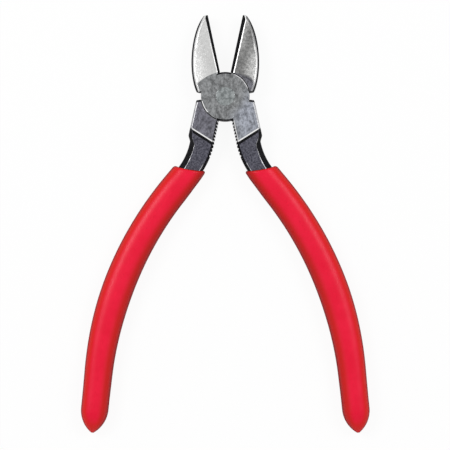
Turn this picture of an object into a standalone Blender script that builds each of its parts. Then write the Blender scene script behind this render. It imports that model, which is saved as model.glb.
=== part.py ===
"""Diagonal cutting pliers: two lap-jointed levers on a flush rivet, with dipped grips.

The tool lies flat, with +Z through its thickness, +Y towards the blade tips and the
pivot axis on Z. Each lever is drawn in its closed position, symmetric about Z = 0, and
its half then turns about the pivot by half the rest opening.
"""
import math

import bmesh
import bpy
from mathutils import Vector
from mathutils.geometry import interpolate_bezier

# Pose, in degrees
REST_OPENING_DEG = 24.0
JAW_SHOULDER_DEG = 22.0
SHANK_SHOULDER_DEG = 19.5

# Lap joint, in metres
JOINT_RADIUS = 0.00865
JOINT_THICKNESS = 0.0096
DISC_CHAMFER = 0.00025
LAP_GAP = 0.0003
LAP_CLEARANCE = 0.0003

# Rivet, in metres
RIVET_RADIUS = 0.0026
RIVET_HEAD_RADIUS = 0.00345
RIVET_HEAD_DEPTH = 0.0013
RIVET_CLEARANCE = 0.0002

# Jaw, in metres and degrees
JAW_LENGTH = 0.0304
JAW_OVERHANG = 0.0019
JAW_BULGE_REACH = 0.0090
JAW_BULGE_LEAN_DEG = 10.0
JAW_NOSE_REACH = 0.0066
JAW_NOSE_DEG = 37.4
JAW_TIP_WIDTH = 0.0016
JAW_TIP_THICKNESS = 0.0046
JAW_CHAMFER = 0.0007
SHOULDER_ROUND = 0.0005
CREASE_RISE = 0.00045
CREASE_BOW = 0.0009

# Cutting edge, in metres and degrees
EDGE_GAP = 0.00006
EDGE_STRIP = 0.0010
EDGE_DROP = 0.0009
EDGE_BEVEL_WIDTH = 0.0015
EDGE_BEVEL_DEPTH = 0.0016
EDGE_RELIEF_DEG = 65.0

# Shank, in metres
SHANK_INNER = 0.00045
SHANK_WIDTH = 0.0088
SHANK_OVERHANG = 0.00130
SHANK_FLARE = 0.00018
SHANK_FLARE_DROP = 0.0162
SHANK_STEP_IN = 0.0026
SHANK_THICKNESS = 0.0082
SHANK_SLANT = 0.0036
GROUND_CHAMFER = 0.00035
SHANK_CHAMFER = 0.0011
NECK_CHAMFER = 0.0017
TOOTH_CHAMFER = 0.0002

# Plier teeth on the inner sides of the shanks
TEETH_ABOVE_STEP = 7
TEETH_BELOW_STEP = 4
TOOTH_PITCH = 0.0012
TOOTH_DEPTH = 0.00050
TEETH_DROP = 0.0094

# Handle centreline, in metres and degrees
NECK_DROP = 0.0181
NECK_RADIUS = 0.0268
HANDLE_SPLAY_DEG = 27.7
HANDLE_RUN = 0.0057
HANDLE_BOW_RADIUS = 0.1262
HANDLE_TAIL_DEG = -6.0
HANDLE_TAIL = 0.0227

# Tang, in metres
TANG_WIDTH = 0.0076
TANG_THICKNESS = 0.0060
TANG_END_WIDTH = 0.0060
TANG_END_THICKNESS = 0.0050
TANG_END_COVER = 0.0120
TANG_CLEARANCE = 0.0003

# Grip, in metres
GRIP_WIDTH = 0.0111
GRIP_SWELL = 0.0004
GRIP_SWELL_RUN = 0.0600
GRIP_END_WIDTH = 0.0101
GRIP_DIP_DROP = 0.0283
GRIP_LIP_ROUND = 0.0007
GRIP_NOSE = 0.0091
GRIP_NOSE_FLAT = 0.0003
GRIP_SQUARENESS = 2.5

# Facets
CIRCLE_SIDES = 64
RIVET_SIDES = 40
JAW_STATIONS = 15
JAW_FACE_STRIPS = 3
RINGS_PER_TOOTH = 4
NECK_STATIONS = 6
TANG_STATIONS = 14
LIP_STATIONS = 3
GRIP_STATIONS = 18
NOSE_STATIONS = 7
GRIP_SIDES = 24
CUT_MARGIN = 0.002
SHARP_DEG = 25.0

# Blade and shank start inside the joint, at this share of its radius
ROOT_SHARE = 1 / 3

# The blade's bevels end this many chamfers short of its back
CHAMFERS_KEPT = 1.5

# Steps of the search for a point along the handle
HALVINGS = 40

HALF_THICKNESS = JOINT_THICKNESS / 2
SHANK_CENTRE = SHANK_INNER + SHANK_WIDTH / 2
SPLAY = math.radians(HANDLE_SPLAY_DEG)
TAIL_LEAN = math.radians(HANDLE_TAIL_DEG)
TEETH = TEETH_ABOVE_STEP + TEETH_BELOW_STEP

# Length and turn of each stretch of the handle's centreline, from the neck down
HANDLE_STRETCHES = (
    (NECK_RADIUS * SPLAY, SPLAY),
    (HANDLE_RUN, 0.0),
    (HANDLE_BOW_RADIUS * (SPLAY - TAIL_LEAN), TAIL_LEAN - SPLAY),
    (HANDLE_TAIL, 0.0),
)
HANDLE_LENGTH = sum(length for length, turn in HANDLE_STRETCHES)
NECK_LENGTH = HANDLE_STRETCHES[0][0] + HANDLE_STRETCHES[1][0]
TANG_LENGTH = HANDLE_LENGTH - TANG_END_COVER
TEETH_TOP = TEETH_DROP - NECK_DROP
TEETH_END = TEETH_TOP + TEETH * TOOTH_PITCH
STEP_RUN = TEETH_TOP + TEETH_ABOVE_STEP * TOOTH_PITCH


def mix(start, end, share):
    """Value part of the way from start to end, held at the ends."""
    share = min(1.0, max(0.0, share))
    return start + (end - start) * share


def ease(start, end, share):
    """Like mix, with a level start and a level end."""
    share = min(1.0, max(0.0, share))
    return mix(start, end, share * share * (3.0 - 2.0 * share))


def loft(rings):
    """Closed mesh through rings of equal counts, capped at both ends."""
    mesh = bmesh.new()
    rows = [[mesh.verts.new(point) for point in ring] for ring in rings]
    count = len(rings[0])
    for near, far in zip(rows, rows[1:]):
        for i in range(count):
            j = (i + 1) % count
            mesh.faces.new((near[i], near[j], far[j], far[i]))
    mesh.faces.new(rows[0])
    mesh.faces.new(rows[-1])
    bmesh.ops.recalc_face_normals(mesh, faces=mesh.faces)
    return mesh


def turned(profile, sides):
    """Solid of revolution about Z through (radius, z) pairs."""
    rings = []
    for radius, z in profile:
        angles = [math.tau * i / sides for i in range(sides)]
        rings.append([(radius * math.cos(a), radius * math.sin(a), z) for a in angles])
    return loft(rings)


def mirrored(rings, hand):
    """Rings for the front lever (hand 1) or for its mirror image (hand -1)."""
    return [[(hand * x, y, z) for x, y, z in ring] for ring in rings]


def finish(name, colour, roughness, metallic):
    """Principled material."""
    material = bpy.data.materials.new(name)
    material.use_nodes = True
    shader = material.node_tree.nodes["Principled BSDF"]
    shader.inputs["Base Color"].default_value = (*colour, 1.0)
    shader.inputs["Roughness"].default_value = roughness
    shader.inputs["Metallic"].default_value = metallic
    return material


def shaded(data):
    """The mesh, smooth up to its sharp edges."""
    data.shade_smooth()
    data.set_sharp_from_angle(angle=math.radians(SHARP_DEG))
    return data


def solid(name, mesh, parent, material):
    """Object from a closed mesh."""
    data = bpy.data.meshes.new(name)
    mesh.to_mesh(data)
    mesh.free()
    data.materials.append(material)
    thing = bpy.data.objects.new(name, shaded(data))
    bpy.context.collection.objects.link(thing)
    thing.parent = parent
    return thing


def carve(piece, steps):
    """Shape a piece by a row of Booleans, each an operation and a closed mesh."""
    tools = []
    for operation, mesh in steps:
        tool = solid(piece.name + "_tool", mesh, piece.parent, piece.active_material)
        step = piece.modifiers.new(operation, "BOOLEAN")
        step.operation = operation
        step.solver = "EXACT"
        step.object = tool
        tools.append(tool)
    finished = piece.evaluated_get(bpy.context.evaluated_depsgraph_get())
    data = bpy.data.meshes.new_from_object(finished)
    piece.modifiers.clear()
    piece.data = shaded(data)
    for tool in tools:
        bpy.data.objects.remove(tool, do_unlink=True)


def pivot_half(name, turn_deg):
    """Empty on the pivot axis that carries one half of the tool."""
    half = bpy.data.objects.new(name, None)
    bpy.context.collection.objects.link(half)
    half.location = (0.0, 0.0, HALF_THICKNESS)
    half.rotation_euler = (0.0, 0.0, math.radians(turn_deg))
    return half


def radial(degrees, radius):
    """Plan point at an angle and distance from the pivot."""
    angle = math.radians(degrees)
    return Vector((radius * math.cos(angle), radius * math.sin(angle)))


def jaw_back():
    """Plan points along the jaw's convex outer side, from shoulder to tip."""
    shoulder = radial(180.0 - JAW_SHOULDER_DEG, JOINT_RADIUS + JAW_OVERHANG)
    tip = Vector((-EDGE_GAP - JAW_TIP_WIDTH, JAW_LENGTH))
    bulge = shoulder + radial(90.0 + JAW_BULGE_LEAN_DEG, JAW_BULGE_REACH)
    nose = tip + radial(180.0 + JAW_NOSE_DEG, JAW_NOSE_REACH)
    return interpolate_bezier(shoulder, bulge, nose, tip, JAW_STATIONS)


def face_half(point, back):
    """Height of the jaw's ground face: a plane that falls away from the crease to the tip."""
    crease = Vector((-EDGE_GAP, JOINT_RADIUS + CREASE_RISE))
    along = (back[1] - crease).normalized()
    fall = Vector((along.y, -along.x))
    share = (point - crease).dot(fall) / (back[-1] - crease).dot(fall)
    return mix(HALF_THICKNESS, JAW_TIP_THICKNESS / 2, share)


def jaw_ring(inner, outer, inner_half, outer_half, bow):
    """Section of the jaw: narrow front bevel, sloped face, outer side and back hollow."""
    across = outer - inner
    width = across.length
    along = across.normalized()
    ahead = Vector((along.y, -along.x))
    chamfer = min(JAW_CHAMFER, width / 4)
    bevel = min(EDGE_BEVEL_WIDTH, width / 2)
    edge = inner_half - EDGE_DROP
    bevel_foot = edge - EDGE_BEVEL_DEPTH
    hollow = bevel + (bevel_foot + inner_half) / math.tan(math.radians(EDGE_RELIEF_DEG))
    face_end = width - chamfer
    last = width - chamfer * CHAMFERS_KEPT
    strip = min(EDGE_STRIP, last)
    reaches = [mix(strip, face_end, i / JAW_FACE_STRIPS) for i in range(JAW_FACE_STRIPS + 1)]
    section = [(0.0, edge)]
    section += [(reach, mix(inner_half, outer_half, reach / width)) for reach in reaches]
    section += [(width, outer_half - chamfer), (width, chamfer - outer_half)]
    for reach in (face_end, min(hollow, last)):
        section.append((reach, -mix(inner_half, outer_half, reach / width)))
    section.append((bevel, bevel_foot))
    ring = []
    for reach, z in section:
        share = reach / width
        plan = inner + along * reach + ahead * bow * 4.0 * share * (1.0 - share)
        ring.append((plan.x, plan.y, z))
    return ring


def jaw_rings():
    """Sections of the jaw from its shoulder, past the crease, to its tip."""
    back = jaw_back()
    root = radial(180.0 - JAW_SHOULDER_DEG, JOINT_RADIUS * ROOT_SHARE)
    inset = (root - back[0]).normalized() * SHOULDER_ROUND
    rise = (back[1] - back[0]).normalized() * SHOULDER_ROUND
    crease = JOINT_RADIUS + CREASE_RISE
    rings = [jaw_ring(root, back[0] + inset, HALF_THICKNESS, HALF_THICKNESS, 0.0)]
    rings.append(jaw_ring(root + rise, back[0] + rise, HALF_THICKNESS, HALF_THICKNESS, 0.0))
    for station in range(1, JAW_STATIONS):
        share = (station - 1) / (JAW_STATIONS - 2)
        inner = Vector((-EDGE_GAP, mix(crease, JAW_LENGTH, share)))
        outer = back[station]
        bow = CREASE_BOW * (1.0 - share)
        rings.append(jaw_ring(inner, outer, face_half(inner, back), face_half(outer, back), bow))
    return rings


def centreline(run):
    """Plan point of the lever's centreline and its lean, run metres below the neck."""
    point = Vector((SHANK_CENTRE, -NECK_DROP))
    lean = 0.0
    if run <= 0.0:
        return point - Vector((0.0, run)), lean
    for length, turn in HANDLE_STRETCHES:
        used = min(run, length)
        run -= used
        if turn:
            radius = length / turn
            after = lean + used / radius
            point += radius * Vector((math.cos(lean) - math.cos(after), math.sin(lean) - math.sin(after)))
            lean = after
        else:
            point += used * Vector((math.sin(lean), -math.cos(lean)))
    return point, lean


def beside(run, offset):
    """Plan point beside the centreline, outward for a positive offset."""
    point, lean = centreline(run)
    return point + offset * Vector((math.cos(lean), math.sin(lean)))


def steel_half_width(run):
    """Half the width of the shank, neck and tang."""
    if run < NECK_LENGTH:
        return mix(SHANK_WIDTH, TANG_WIDTH, run / NECK_LENGTH) / 2
    share = (run - NECK_LENGTH) / (TANG_LENGTH - NECK_LENGTH)
    return mix(TANG_WIDTH, TANG_END_WIDTH, share) / 2


def outer_offset(run):
    """Distance of the outer side from the centreline, with the flared ground flank above the neck."""
    flare_run = SHANK_FLARE_DROP - NECK_DROP
    flank = JOINT_RADIUS + SHANK_OVERHANG - SHANK_CENTRE
    flank += SHANK_FLARE * mix(0.0, 1.0, 1.0 + (run - flare_run) / SHANK_FLARE_DROP)
    return ease(flank, steel_half_width(run), (run - flare_run) / SHANK_STEP_IN)


def mouth_run():
    """Run at which the centreline meets the dip line of the grip."""
    return run_at_drop(0.0)


def steel_half_thickness(run):
    """Half the thickness below the ground faces."""
    if run < mouth_run():
        share = (run - STEP_RUN) / (mouth_run() - STEP_RUN)
        return mix(SHANK_THICKNESS, TANG_THICKNESS, share) / 2
    share = (run - mouth_run()) / (TANG_LENGTH - mouth_run())
    return mix(TANG_THICKNESS, TANG_END_THICKNESS, share) / 2


def outer_cut(run):
    """Chamfer of the outer edges below the ground faces, which grows down the neck."""
    return mix(SHANK_CHAMFER, NECK_CHAMFER, (run - STEP_RUN) / (mouth_run() - STEP_RUN))


def slant(run):
    """How far the outer end of a section runs ahead of its inner end."""
    return ease(SHANK_SLANT, 0.0, (run - TEETH_END) / (NECK_LENGTH - TEETH_END))


def chamfered_ring(inner, outer, half, inner_chamfer, outer_chamfer):
    """Rectangular section between two plan points, with cut corners."""
    along = (outer - inner).normalized()
    width = (outer - inner).length
    front = [(0.0, half - inner_chamfer), (inner_chamfer, half)]
    front += [(width - outer_chamfer, half), (width, half - outer_chamfer)]
    section = front + [(reach, -z) for reach, z in reversed(front)]
    plan = [(inner + along * reach, z) for reach, z in section]
    return [(point.x, point.y, z) for point, z in plan]


def shank_ring(run, half, outer_chamfer, tooth=0.0, inner_chamfer=TOOTH_CHAMFER, grow=0.0):
    """Section of the shank or tang at a run, cut back by a tooth or grown all round."""
    outer_run = run - slant(run)
    inner = beside(run, tooth - steel_half_width(run) - grow)
    outer = beside(outer_run, outer_offset(outer_run) + grow)
    return chamfered_ring(inner, outer, half + grow, inner_chamfer, outer_chamfer)


def shoulder_rings():
    """First sections of the shank, along its radial shoulder."""
    flank = JOINT_RADIUS + SHANK_OVERHANG
    corner = radial(-SHANK_SHOULDER_DEG, flank / math.cos(math.radians(SHANK_SHOULDER_DEG)))
    root = radial(-SHANK_SHOULDER_DEG, JOINT_RADIUS * ROOT_SHARE)
    inset = (root - corner).normalized() * SHOULDER_ROUND
    drop = Vector((0.0, -SHOULDER_ROUND))
    sections = ((root, corner + inset), (root + drop, corner + drop))
    return [chamfered_ring(a, b, HALF_THICKNESS, TOOTH_CHAMFER, GROUND_CHAMFER) for a, b in sections]


def toothed_rings():
    """Sections through the plier teeth, past the step from the ground face to the shank."""
    rings = [shank_ring(TEETH_TOP - TOOTH_PITCH / RINGS_PER_TOOTH, HALF_THICKNESS, GROUND_CHAMFER)]
    for step in range(TEETH * RINGS_PER_TOOTH):
        run = TEETH_TOP + step / RINGS_PER_TOOTH * TOOTH_PITCH
        cut = TOOTH_DEPTH if step % RINGS_PER_TOOTH < RINGS_PER_TOOTH / 2 else 0.0
        if step <= TEETH_ABOVE_STEP * RINGS_PER_TOOTH:
            rings.append(shank_ring(run, HALF_THICKNESS, GROUND_CHAMFER, cut))
        else:
            rings.append(shank_ring(run, steel_half_thickness(run), outer_cut(run), cut))
    return rings


def tang_rings(start, grow=0.0):
    """Sections of the neck and tang from a run to the tang's end."""
    runs = [mix(start, NECK_LENGTH, i / NECK_STATIONS) for i in range(NECK_STATIONS)]
    runs += [mix(NECK_LENGTH, TANG_LENGTH, i / TANG_STATIONS) for i in range(TANG_STATIONS + 1)]
    runs[-1] += grow
    rings = []
    for run in runs:
        half = steel_half_thickness(run)
        inner_chamfer = ease(TOOTH_CHAMFER, SHANK_CHAMFER, (run - TEETH_END) / TOOTH_PITCH)
        rings.append(shank_ring(run, half, outer_cut(run), 0.0, inner_chamfer, grow))
    return rings


def run_at_drop(offset):
    """Run at which a line beside the centreline reaches the dip line."""
    low = 0.0
    high = NECK_LENGTH + HANDLE_BOW_RADIUS / 2
    for halving in range(HALVINGS):
        middle = (low + high) / 2
        if beside(middle, offset).y > -GRIP_DIP_DROP:
            low = middle
        else:
            high = middle
    return low


def grip_half_width(run):
    """Half the width of the grip before its nose."""
    widest = GRIP_WIDTH + GRIP_SWELL
    if run < GRIP_SWELL_RUN:
        return ease(GRIP_WIDTH, widest, run / GRIP_SWELL_RUN) / 2
    nose_run = HANDLE_LENGTH - GRIP_NOSE
    return ease(widest, GRIP_END_WIDTH, (run - GRIP_SWELL_RUN) / (nose_run - GRIP_SWELL_RUN)) / 2


def grip_ring(inner_run, outer_run, inset=0.0, share=1.0):
    """Rounded section of the grip, drawn in by an inset or shrunk by a share."""
    inner = beside(inner_run, inset - share * grip_half_width(inner_run))
    outer = beside(outer_run, share * grip_half_width(outer_run) - inset)
    half = share * HALF_THICKNESS - inset
    middle = (inner + outer) / 2
    reach = (outer - inner) / 2
    power = 2.0 / GRIP_SQUARENESS
    flat = math.cos(math.pi / GRIP_SIDES) ** power
    ring = []
    for i in range(GRIP_SIDES):
        angle = math.tau * (i + 0.5) / GRIP_SIDES
        across = math.copysign(abs(math.cos(angle)) ** power, math.cos(angle)) / flat
        up = math.copysign(abs(math.sin(angle)) ** power, math.sin(angle)) / flat
        point = middle + reach * across
        ring.append((point.x, point.y, half * up))
    return ring


def grip_rings():
    """Sections of the grip from its slanted lip to its pointed nose."""
    inner_start = run_at_drop(-GRIP_WIDTH / 2)
    outer_start = run_at_drop(GRIP_WIDTH / 2)
    nose_run = HANDLE_LENGTH - GRIP_NOSE
    rings = []
    for step in range(LIP_STATIONS):
        turn = math.radians(90.0 * step / LIP_STATIONS)
        inset = GRIP_LIP_ROUND * (1.0 - math.sin(turn))
        ahead = GRIP_LIP_ROUND * (1.0 - math.cos(turn))
        rings.append(grip_ring(inner_start + ahead, outer_start + ahead, inset))
    for station in range(GRIP_STATIONS + 1):
        share = station / GRIP_STATIONS
        inner_run = mix(inner_start + GRIP_LIP_ROUND, nose_run, share)
        outer_run = mix(outer_start + GRIP_LIP_ROUND, nose_run, share)
        rings.append(grip_ring(inner_run, outer_run))
    rings += [grip_ring(nose_run + ahead, nose_run + ahead, share=share) for ahead, share in nose_shares()]
    return rings


def nose_shares():
    """Distance along the nose and the share of the section left there, on an ogive."""
    half = GRIP_END_WIDTH / 2
    radius = (GRIP_NOSE ** 2 + half ** 2) / GRIP_END_WIDTH
    steps = []
    for step in range(1, NOSE_STATIONS + 1):
        ahead = (GRIP_NOSE - GRIP_NOSE_FLAT) * math.sin(math.radians(90.0 * step / NOSE_STATIONS))
        left = math.sqrt(radius ** 2 - ahead ** 2) - (radius - half)
        steps.append((ahead, left / half))
    return steps


def lever(name, parent, hand, side, material):
    """One forging. Its lap disc lies in the upper (side 1) or lower (side -1) half of the thickness."""
    shank = shoulder_rings() + toothed_rings() + tang_rings(TEETH_END)
    piece = solid(name, loft(mirrored(shank, hand)), parent, material)
    floor = side * LAP_GAP / 2
    face = side * HALF_THICKNESS
    recess_radius = JOINT_RADIUS + LAP_CLEARANCE
    recess = ((recess_radius, floor), (recess_radius, -face - side * CUT_MARGIN))
    rim = ((JOINT_RADIUS, face - side * DISC_CHAMFER), (JOINT_RADIUS - DISC_CHAMFER, face))
    carve(piece, (
        ("UNION", loft(mirrored(jaw_rings(), hand))),
        ("DIFFERENCE", turned(recess, CIRCLE_SIDES)),
        ("UNION", turned(((JOINT_RADIUS, floor), *rim), CIRCLE_SIDES)),
        ("DIFFERENCE", rivet_mesh(RIVET_CLEARANCE, CUT_MARGIN)),
    ))


def rivet_mesh(grow, past):
    """Rivet with countersunk heads, grown all round and run past both faces for the hole."""
    widening = (RIVET_HEAD_RADIUS - RIVET_RADIUS) / RIVET_HEAD_DEPTH
    head = (RIVET_HEAD_RADIUS + grow + past * widening, HALF_THICKNESS + past)
    neck = (RIVET_RADIUS + grow, HALF_THICKNESS - RIVET_HEAD_DEPTH)
    return turned(((head[0], -head[1]), (neck[0], -neck[1]), neck, head), RIVET_SIDES)


def grip(name, parent, hand, material):
    """Dipped sleeve, open at its lip, round a tang."""
    piece = solid(name, loft(mirrored(grip_rings(), hand)), parent, material)
    bore = mirrored(tang_rings(TEETH_END, TANG_CLEARANCE), hand)
    carve(piece, (("DIFFERENCE", loft(bore)),))


def build():
    """The whole tool at its rest opening."""
    for thing in list(bpy.data.objects):
        bpy.data.objects.remove(thing, do_unlink=True)
    steel = finish("ground_and_blackened_steel", (0.42, 0.42, 0.43), 0.35, 1.0)
    rivet_steel = finish("rivet_steel", (0.36, 0.38, 0.37), 0.40, 1.0)
    vinyl = finish("red_dipped_vinyl", (0.72, 0.02, 0.03), 0.30, 0.0)
    front = pivot_half("front_half", REST_OPENING_DEG / 2)
    rear = pivot_half("rear_half", -REST_OPENING_DEG / 2)
    lever("front_lever", front, 1, 1, steel)
    lever("rear_lever", rear, -1, -1, steel)
    solid("pivot_rivet", rivet_mesh(0.0, 0.0), rear, rivet_steel)
    grip("front_lever_grip", front, 1, vinyl)
    grip("rear_lever_grip", rear, -1, vinyl)


build()
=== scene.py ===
# %% [markdown]
# # Diagonal cutting pliers
# The tool is two forged levers that cross in a lap joint, one flush rivet and two red
# dipped grips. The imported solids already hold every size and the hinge. This lesson
# loads them as a fixed frame and dresses them: it draws each piece again with fine,
# rounded edges, gives it a finish made of nodes, and sets up a plain photo studio.

# %% Load the solids
import math

import bmesh
import bpy
from mathutils import Matrix, Vector
from mathutils.geometry import interpolate_bezier


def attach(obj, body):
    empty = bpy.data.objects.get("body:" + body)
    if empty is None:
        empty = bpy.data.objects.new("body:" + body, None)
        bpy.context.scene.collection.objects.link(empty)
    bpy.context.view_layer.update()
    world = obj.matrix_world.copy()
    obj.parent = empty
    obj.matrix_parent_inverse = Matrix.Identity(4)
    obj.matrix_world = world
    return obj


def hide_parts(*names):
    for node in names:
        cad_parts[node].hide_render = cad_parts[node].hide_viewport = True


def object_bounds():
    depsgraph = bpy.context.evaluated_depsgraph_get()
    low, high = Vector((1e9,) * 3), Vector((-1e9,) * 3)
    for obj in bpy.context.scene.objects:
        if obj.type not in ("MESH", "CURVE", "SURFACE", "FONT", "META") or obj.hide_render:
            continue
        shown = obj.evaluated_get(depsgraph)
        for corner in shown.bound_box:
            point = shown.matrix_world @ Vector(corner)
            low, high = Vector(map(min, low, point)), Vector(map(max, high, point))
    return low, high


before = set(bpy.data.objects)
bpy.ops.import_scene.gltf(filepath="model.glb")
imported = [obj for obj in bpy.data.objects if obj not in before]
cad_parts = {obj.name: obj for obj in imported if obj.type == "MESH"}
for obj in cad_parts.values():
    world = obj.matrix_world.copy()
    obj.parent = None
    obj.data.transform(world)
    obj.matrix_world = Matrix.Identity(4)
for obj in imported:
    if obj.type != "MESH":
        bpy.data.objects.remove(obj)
cad_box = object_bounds()
cad_size = [round(1000 * side, 1) for side in cad_box[1] - cad_box[0]]
print("solids:", sorted(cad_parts), "measure", cad_size, "mm")

# %% [markdown]
# ## How the levers are placed
# Both levers are the same forging, turned over. It is easiest to draw one of them closed,
# with the rivet's axis on Z and the middle of the steel at height 0, and to turn it
# afterwards. The turn could stay in the object's matrix, but then the piece's bounding box
# would lie askew and look too large. So the matrix is worked into the mesh itself.

# %% Place a lever
HALF_STEEL = (cad_box[1].z - cad_box[0].z) / 2
HALF_OPENING = math.radians(12.0)


def lever_place(hand):
    """Where a lever drawn closed lies at rest: hand 1 is the front lever, -1 the rear one."""
    turn = Matrix.Rotation(hand * HALF_OPENING, 4, "Z")
    return Matrix.Translation((0.0, 0.0, HALF_STEEL)) @ turn


print("the joint is", round(2000 * HALF_STEEL, 2), "mm thick")

# %% [markdown]
# ## Sections with soft corners
# A forging is never sharp. Every corner has a small round that catches the light, and
# that thin bright line is what makes steel look like steel. A Bevel modifier could round
# the corners at the end, but it fails on edges as close as the plier teeth. So the rounds
# are part of the drawn section: each corner becomes a short curve of a few points. Each
# side of a section also names its finish, by one of the numbers below.

# %% Go from one value to another
def between(start, end, share):
    """Value part of the way from start to end, held at the ends."""
    return start + (end - start) * min(1.0, max(0.0, share))


def eased(start, end, share):
    """Like between, with a level start and end."""
    share = min(1.0, max(0.0, share))
    return between(start, end, share * share * (3.0 - 2.0 * share))


print("a fifth of the way is", between(0.0, 1.0, 0.2), "and eased", round(eased(0.0, 1.0, 0.2), 3))

# %% Round the corners of a section
GROUND, BLADE, HONED, BLACKED, RUBBED, BRIGHT, SCUFFED, WORN, WIRE, BACK, CAUGHT = range(11)
ROUND_STEPS = 3
ROUND_LIMIT = 0.4
NO_LENGTH = 1e-9


def soft_section(corners):
    """Points round a section and the finish of each side, from (reach, height, round, finish).

    A fifth value gives the round itself another finish."""
    points = []
    finishes = []
    for i, (reach, height, size, finish, *round_finish) in enumerate(corners):
        here = Vector((reach, height))
        arms = [Vector(corners[j][:2]) - here for j in (i - 1, (i + 1) % len(corners))]
        start, end = [here + arm * min(ROUND_LIMIT, size / max(arm.length, NO_LENGTH)) for arm in arms]
        for step in range(ROUND_STEPS + 1):
            share = step / ROUND_STEPS
            points.append(start.lerp(here, share).lerp(here.lerp(end, share), share))
            halves = round_finish * 2 or (corners[i - 1][3], finish)
            finishes.append(finish if step == ROUND_STEPS else halves[step * 2 // ROUND_STEPS])
    return points, finishes


print("the steel has", CAUGHT + 1, "finishes, and a soft corner has", ROUND_STEPS + 1, "points")

# %% [markdown]
# ## Skinning the sections
# A row of sections with the same number of points can be joined into one closed skin, as
# a boat is planked over its frames. The Bridge Edge Loops tool would do that by hand. Bmesh
# builds the skin face by face instead, so that each face can take its own finish: the ground
# top, the black side and the bright edge of one forging need no extra objects.

# %% Join sections into a skin
def skin(sections, hand=1, end_finish=BLACKED):
    """Closed mesh through sections, each a list of points and the finish of each side."""
    mesh = bmesh.new()
    rows = [[mesh.verts.new((hand * x, y, z)) for x, y, z in ring] for ring, finishes in sections]
    for near, far, (ring, finishes) in zip(rows, rows[1:], sections):
        for i, finish in enumerate(finishes):
            j = (i + 1) % len(near)
            mesh.faces.new((near[i], near[j], far[j], far[i])).material_index = finish
    for row in (rows[0], rows[-1]):
        mesh.faces.new(row).material_index = end_finish
    bmesh.ops.recalc_face_normals(mesh, faces=mesh.faces)
    if mesh.calc_volume(signed=True) < 0.0:
        bmesh.ops.reverse_faces(mesh, faces=mesh.faces)
    return mesh


trial_square = ((0.0, 0.0), (1.0, 0.0), (1.0, 1.0), (0.0, 1.0))
trial_block = skin([([(x, y, z) for x, y in trial_square], [GROUND] * 4) for z in (0.0, 1.0)])
print("a trial block has", len(trial_block.faces), "faces and holds", round(trial_block.calc_volume(), 3))
trial_block.free()

# %% Stand a section on the plan
def stood(inner, outer, section, finishes, bow=0.0):
    """A section stood upright on the plan line from inner to outer, bowed ahead in the middle."""
    across = outer - inner
    along = across.normalized()
    # share * (1 - share) is a quarter in the middle, so four times the bow gives all of it there.
    ahead = Vector((along.y, -along.x)) * bow * 4.0
    ring = []
    for reach, height in section:
        share = reach / across.length
        plan = inner + along * reach + ahead * share * (1.0 - share)
        ring.append((plan.x, plan.y, height))
    return ring, finishes


trial_ring = stood(Vector((0.0, 0.0)), Vector((0.0, 2.0)), [(1.0, 0.5)], [GROUND], 0.1)[0]
print("a point halfway along a bowed line stands at", [round(value, 3) for value in trial_ring[0]])

# %% [markdown]
# ## The blades
# Seen from above, a blade is a long leaf: its cutting edge is straight and its back is
# one smooth curve. A traced outline would need dozens of points there, while a single
# Bezier curve follows it with four and stays smooth at any number of stations. The ground
# face is a plane that falls away from a crease at the joint to the tip.

# %% Draw the blade's plan
BOSS_RADIUS = 0.00865
BLADE_LENGTH = 0.0304
BLADE_SHOULDER_DEG = 22.0
BLADE_OVERHANG = 0.0021
BLADE_TIP_WIDTH = 0.00166
BULGE_DEG, BULGE_REACH = 100.0, 0.0090
NOSE_DEG, NOSE_REACH = 217.4, 0.0066
BLADE_STATIONS = 44
CREASE_STATION = 3


def plan_point(degrees, radius):
    """Plan point at an angle and a distance from the rivet."""
    angle = math.radians(degrees)
    return Vector((radius * math.cos(angle), radius * math.sin(angle)))


def blade_back():
    """Plan points along the curved back of a blade, from its shoulder to its tip."""
    shoulder = plan_point(180.0 - BLADE_SHOULDER_DEG, BOSS_RADIUS + BLADE_OVERHANG)
    tip = Vector((-BLADE_TIP_WIDTH, BLADE_LENGTH))
    bulge = shoulder + plan_point(BULGE_DEG, BULGE_REACH)
    nose = tip + plan_point(NOSE_DEG, NOSE_REACH)
    return interpolate_bezier(shoulder, bulge, nose, tip, CREASE_STATION + BLADE_STATIONS + 1)


blade_curve = blade_back()
print("the blade's back runs through", len(blade_curve), "points")

# %% Draw the blade's face
TIP_HALF = 0.0023
EDGE_GAP = 0.00006
CREASE_RISE = 0.00045
CREASE_START = Vector((-EDGE_GAP, BOSS_RADIUS + CREASE_RISE))
CREASE_END = blade_curve[CREASE_STATION]


def past_crease(point):
    """Distance of a plan point from the crease, towards the tip."""
    along = (CREASE_END - CREASE_START).normalized()
    return (point - CREASE_START).dot(Vector((along.y, -along.x)))


def blade_half(point):
    """Height of the ground face over the middle of the steel: a plane that falls to the tip."""
    return between(HALF_STEEL, TIP_HALF, past_crease(point) / past_crease(blade_curve[-1]))


print("the blade's face falls away over", round(1000 * past_crease(blade_curve[-1]), 1), "mm")

# %% [markdown]
# ## The blade's section
# Seen from its end, a blade has a narrow dark bevel along the cutting edge, a ground face,
# a bright chamfer and a side that leans out to the parting line of the forging dies. Under
# the edge the steel is relieved, so that the two edges meet first. A plain wedge would be
# quicker to draw, but the bevel and the chamfer are what the eye looks for on a cutter. One
# section serves from the shoulder to the tip: its corners shrink where the blade is narrow.

# %% Relieve the cutting edge
EDGE_DROP = 0.0009
RELIEF_WIDTH = 0.0015
RELIEF_DEPTH = 0.0016
RELIEF_DEG = 65.0
RELIEF_MARGIN = 0.0002
HOLLOW_ROUND, BEVEL_ROUND = 0.00020, 0.00030


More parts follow.
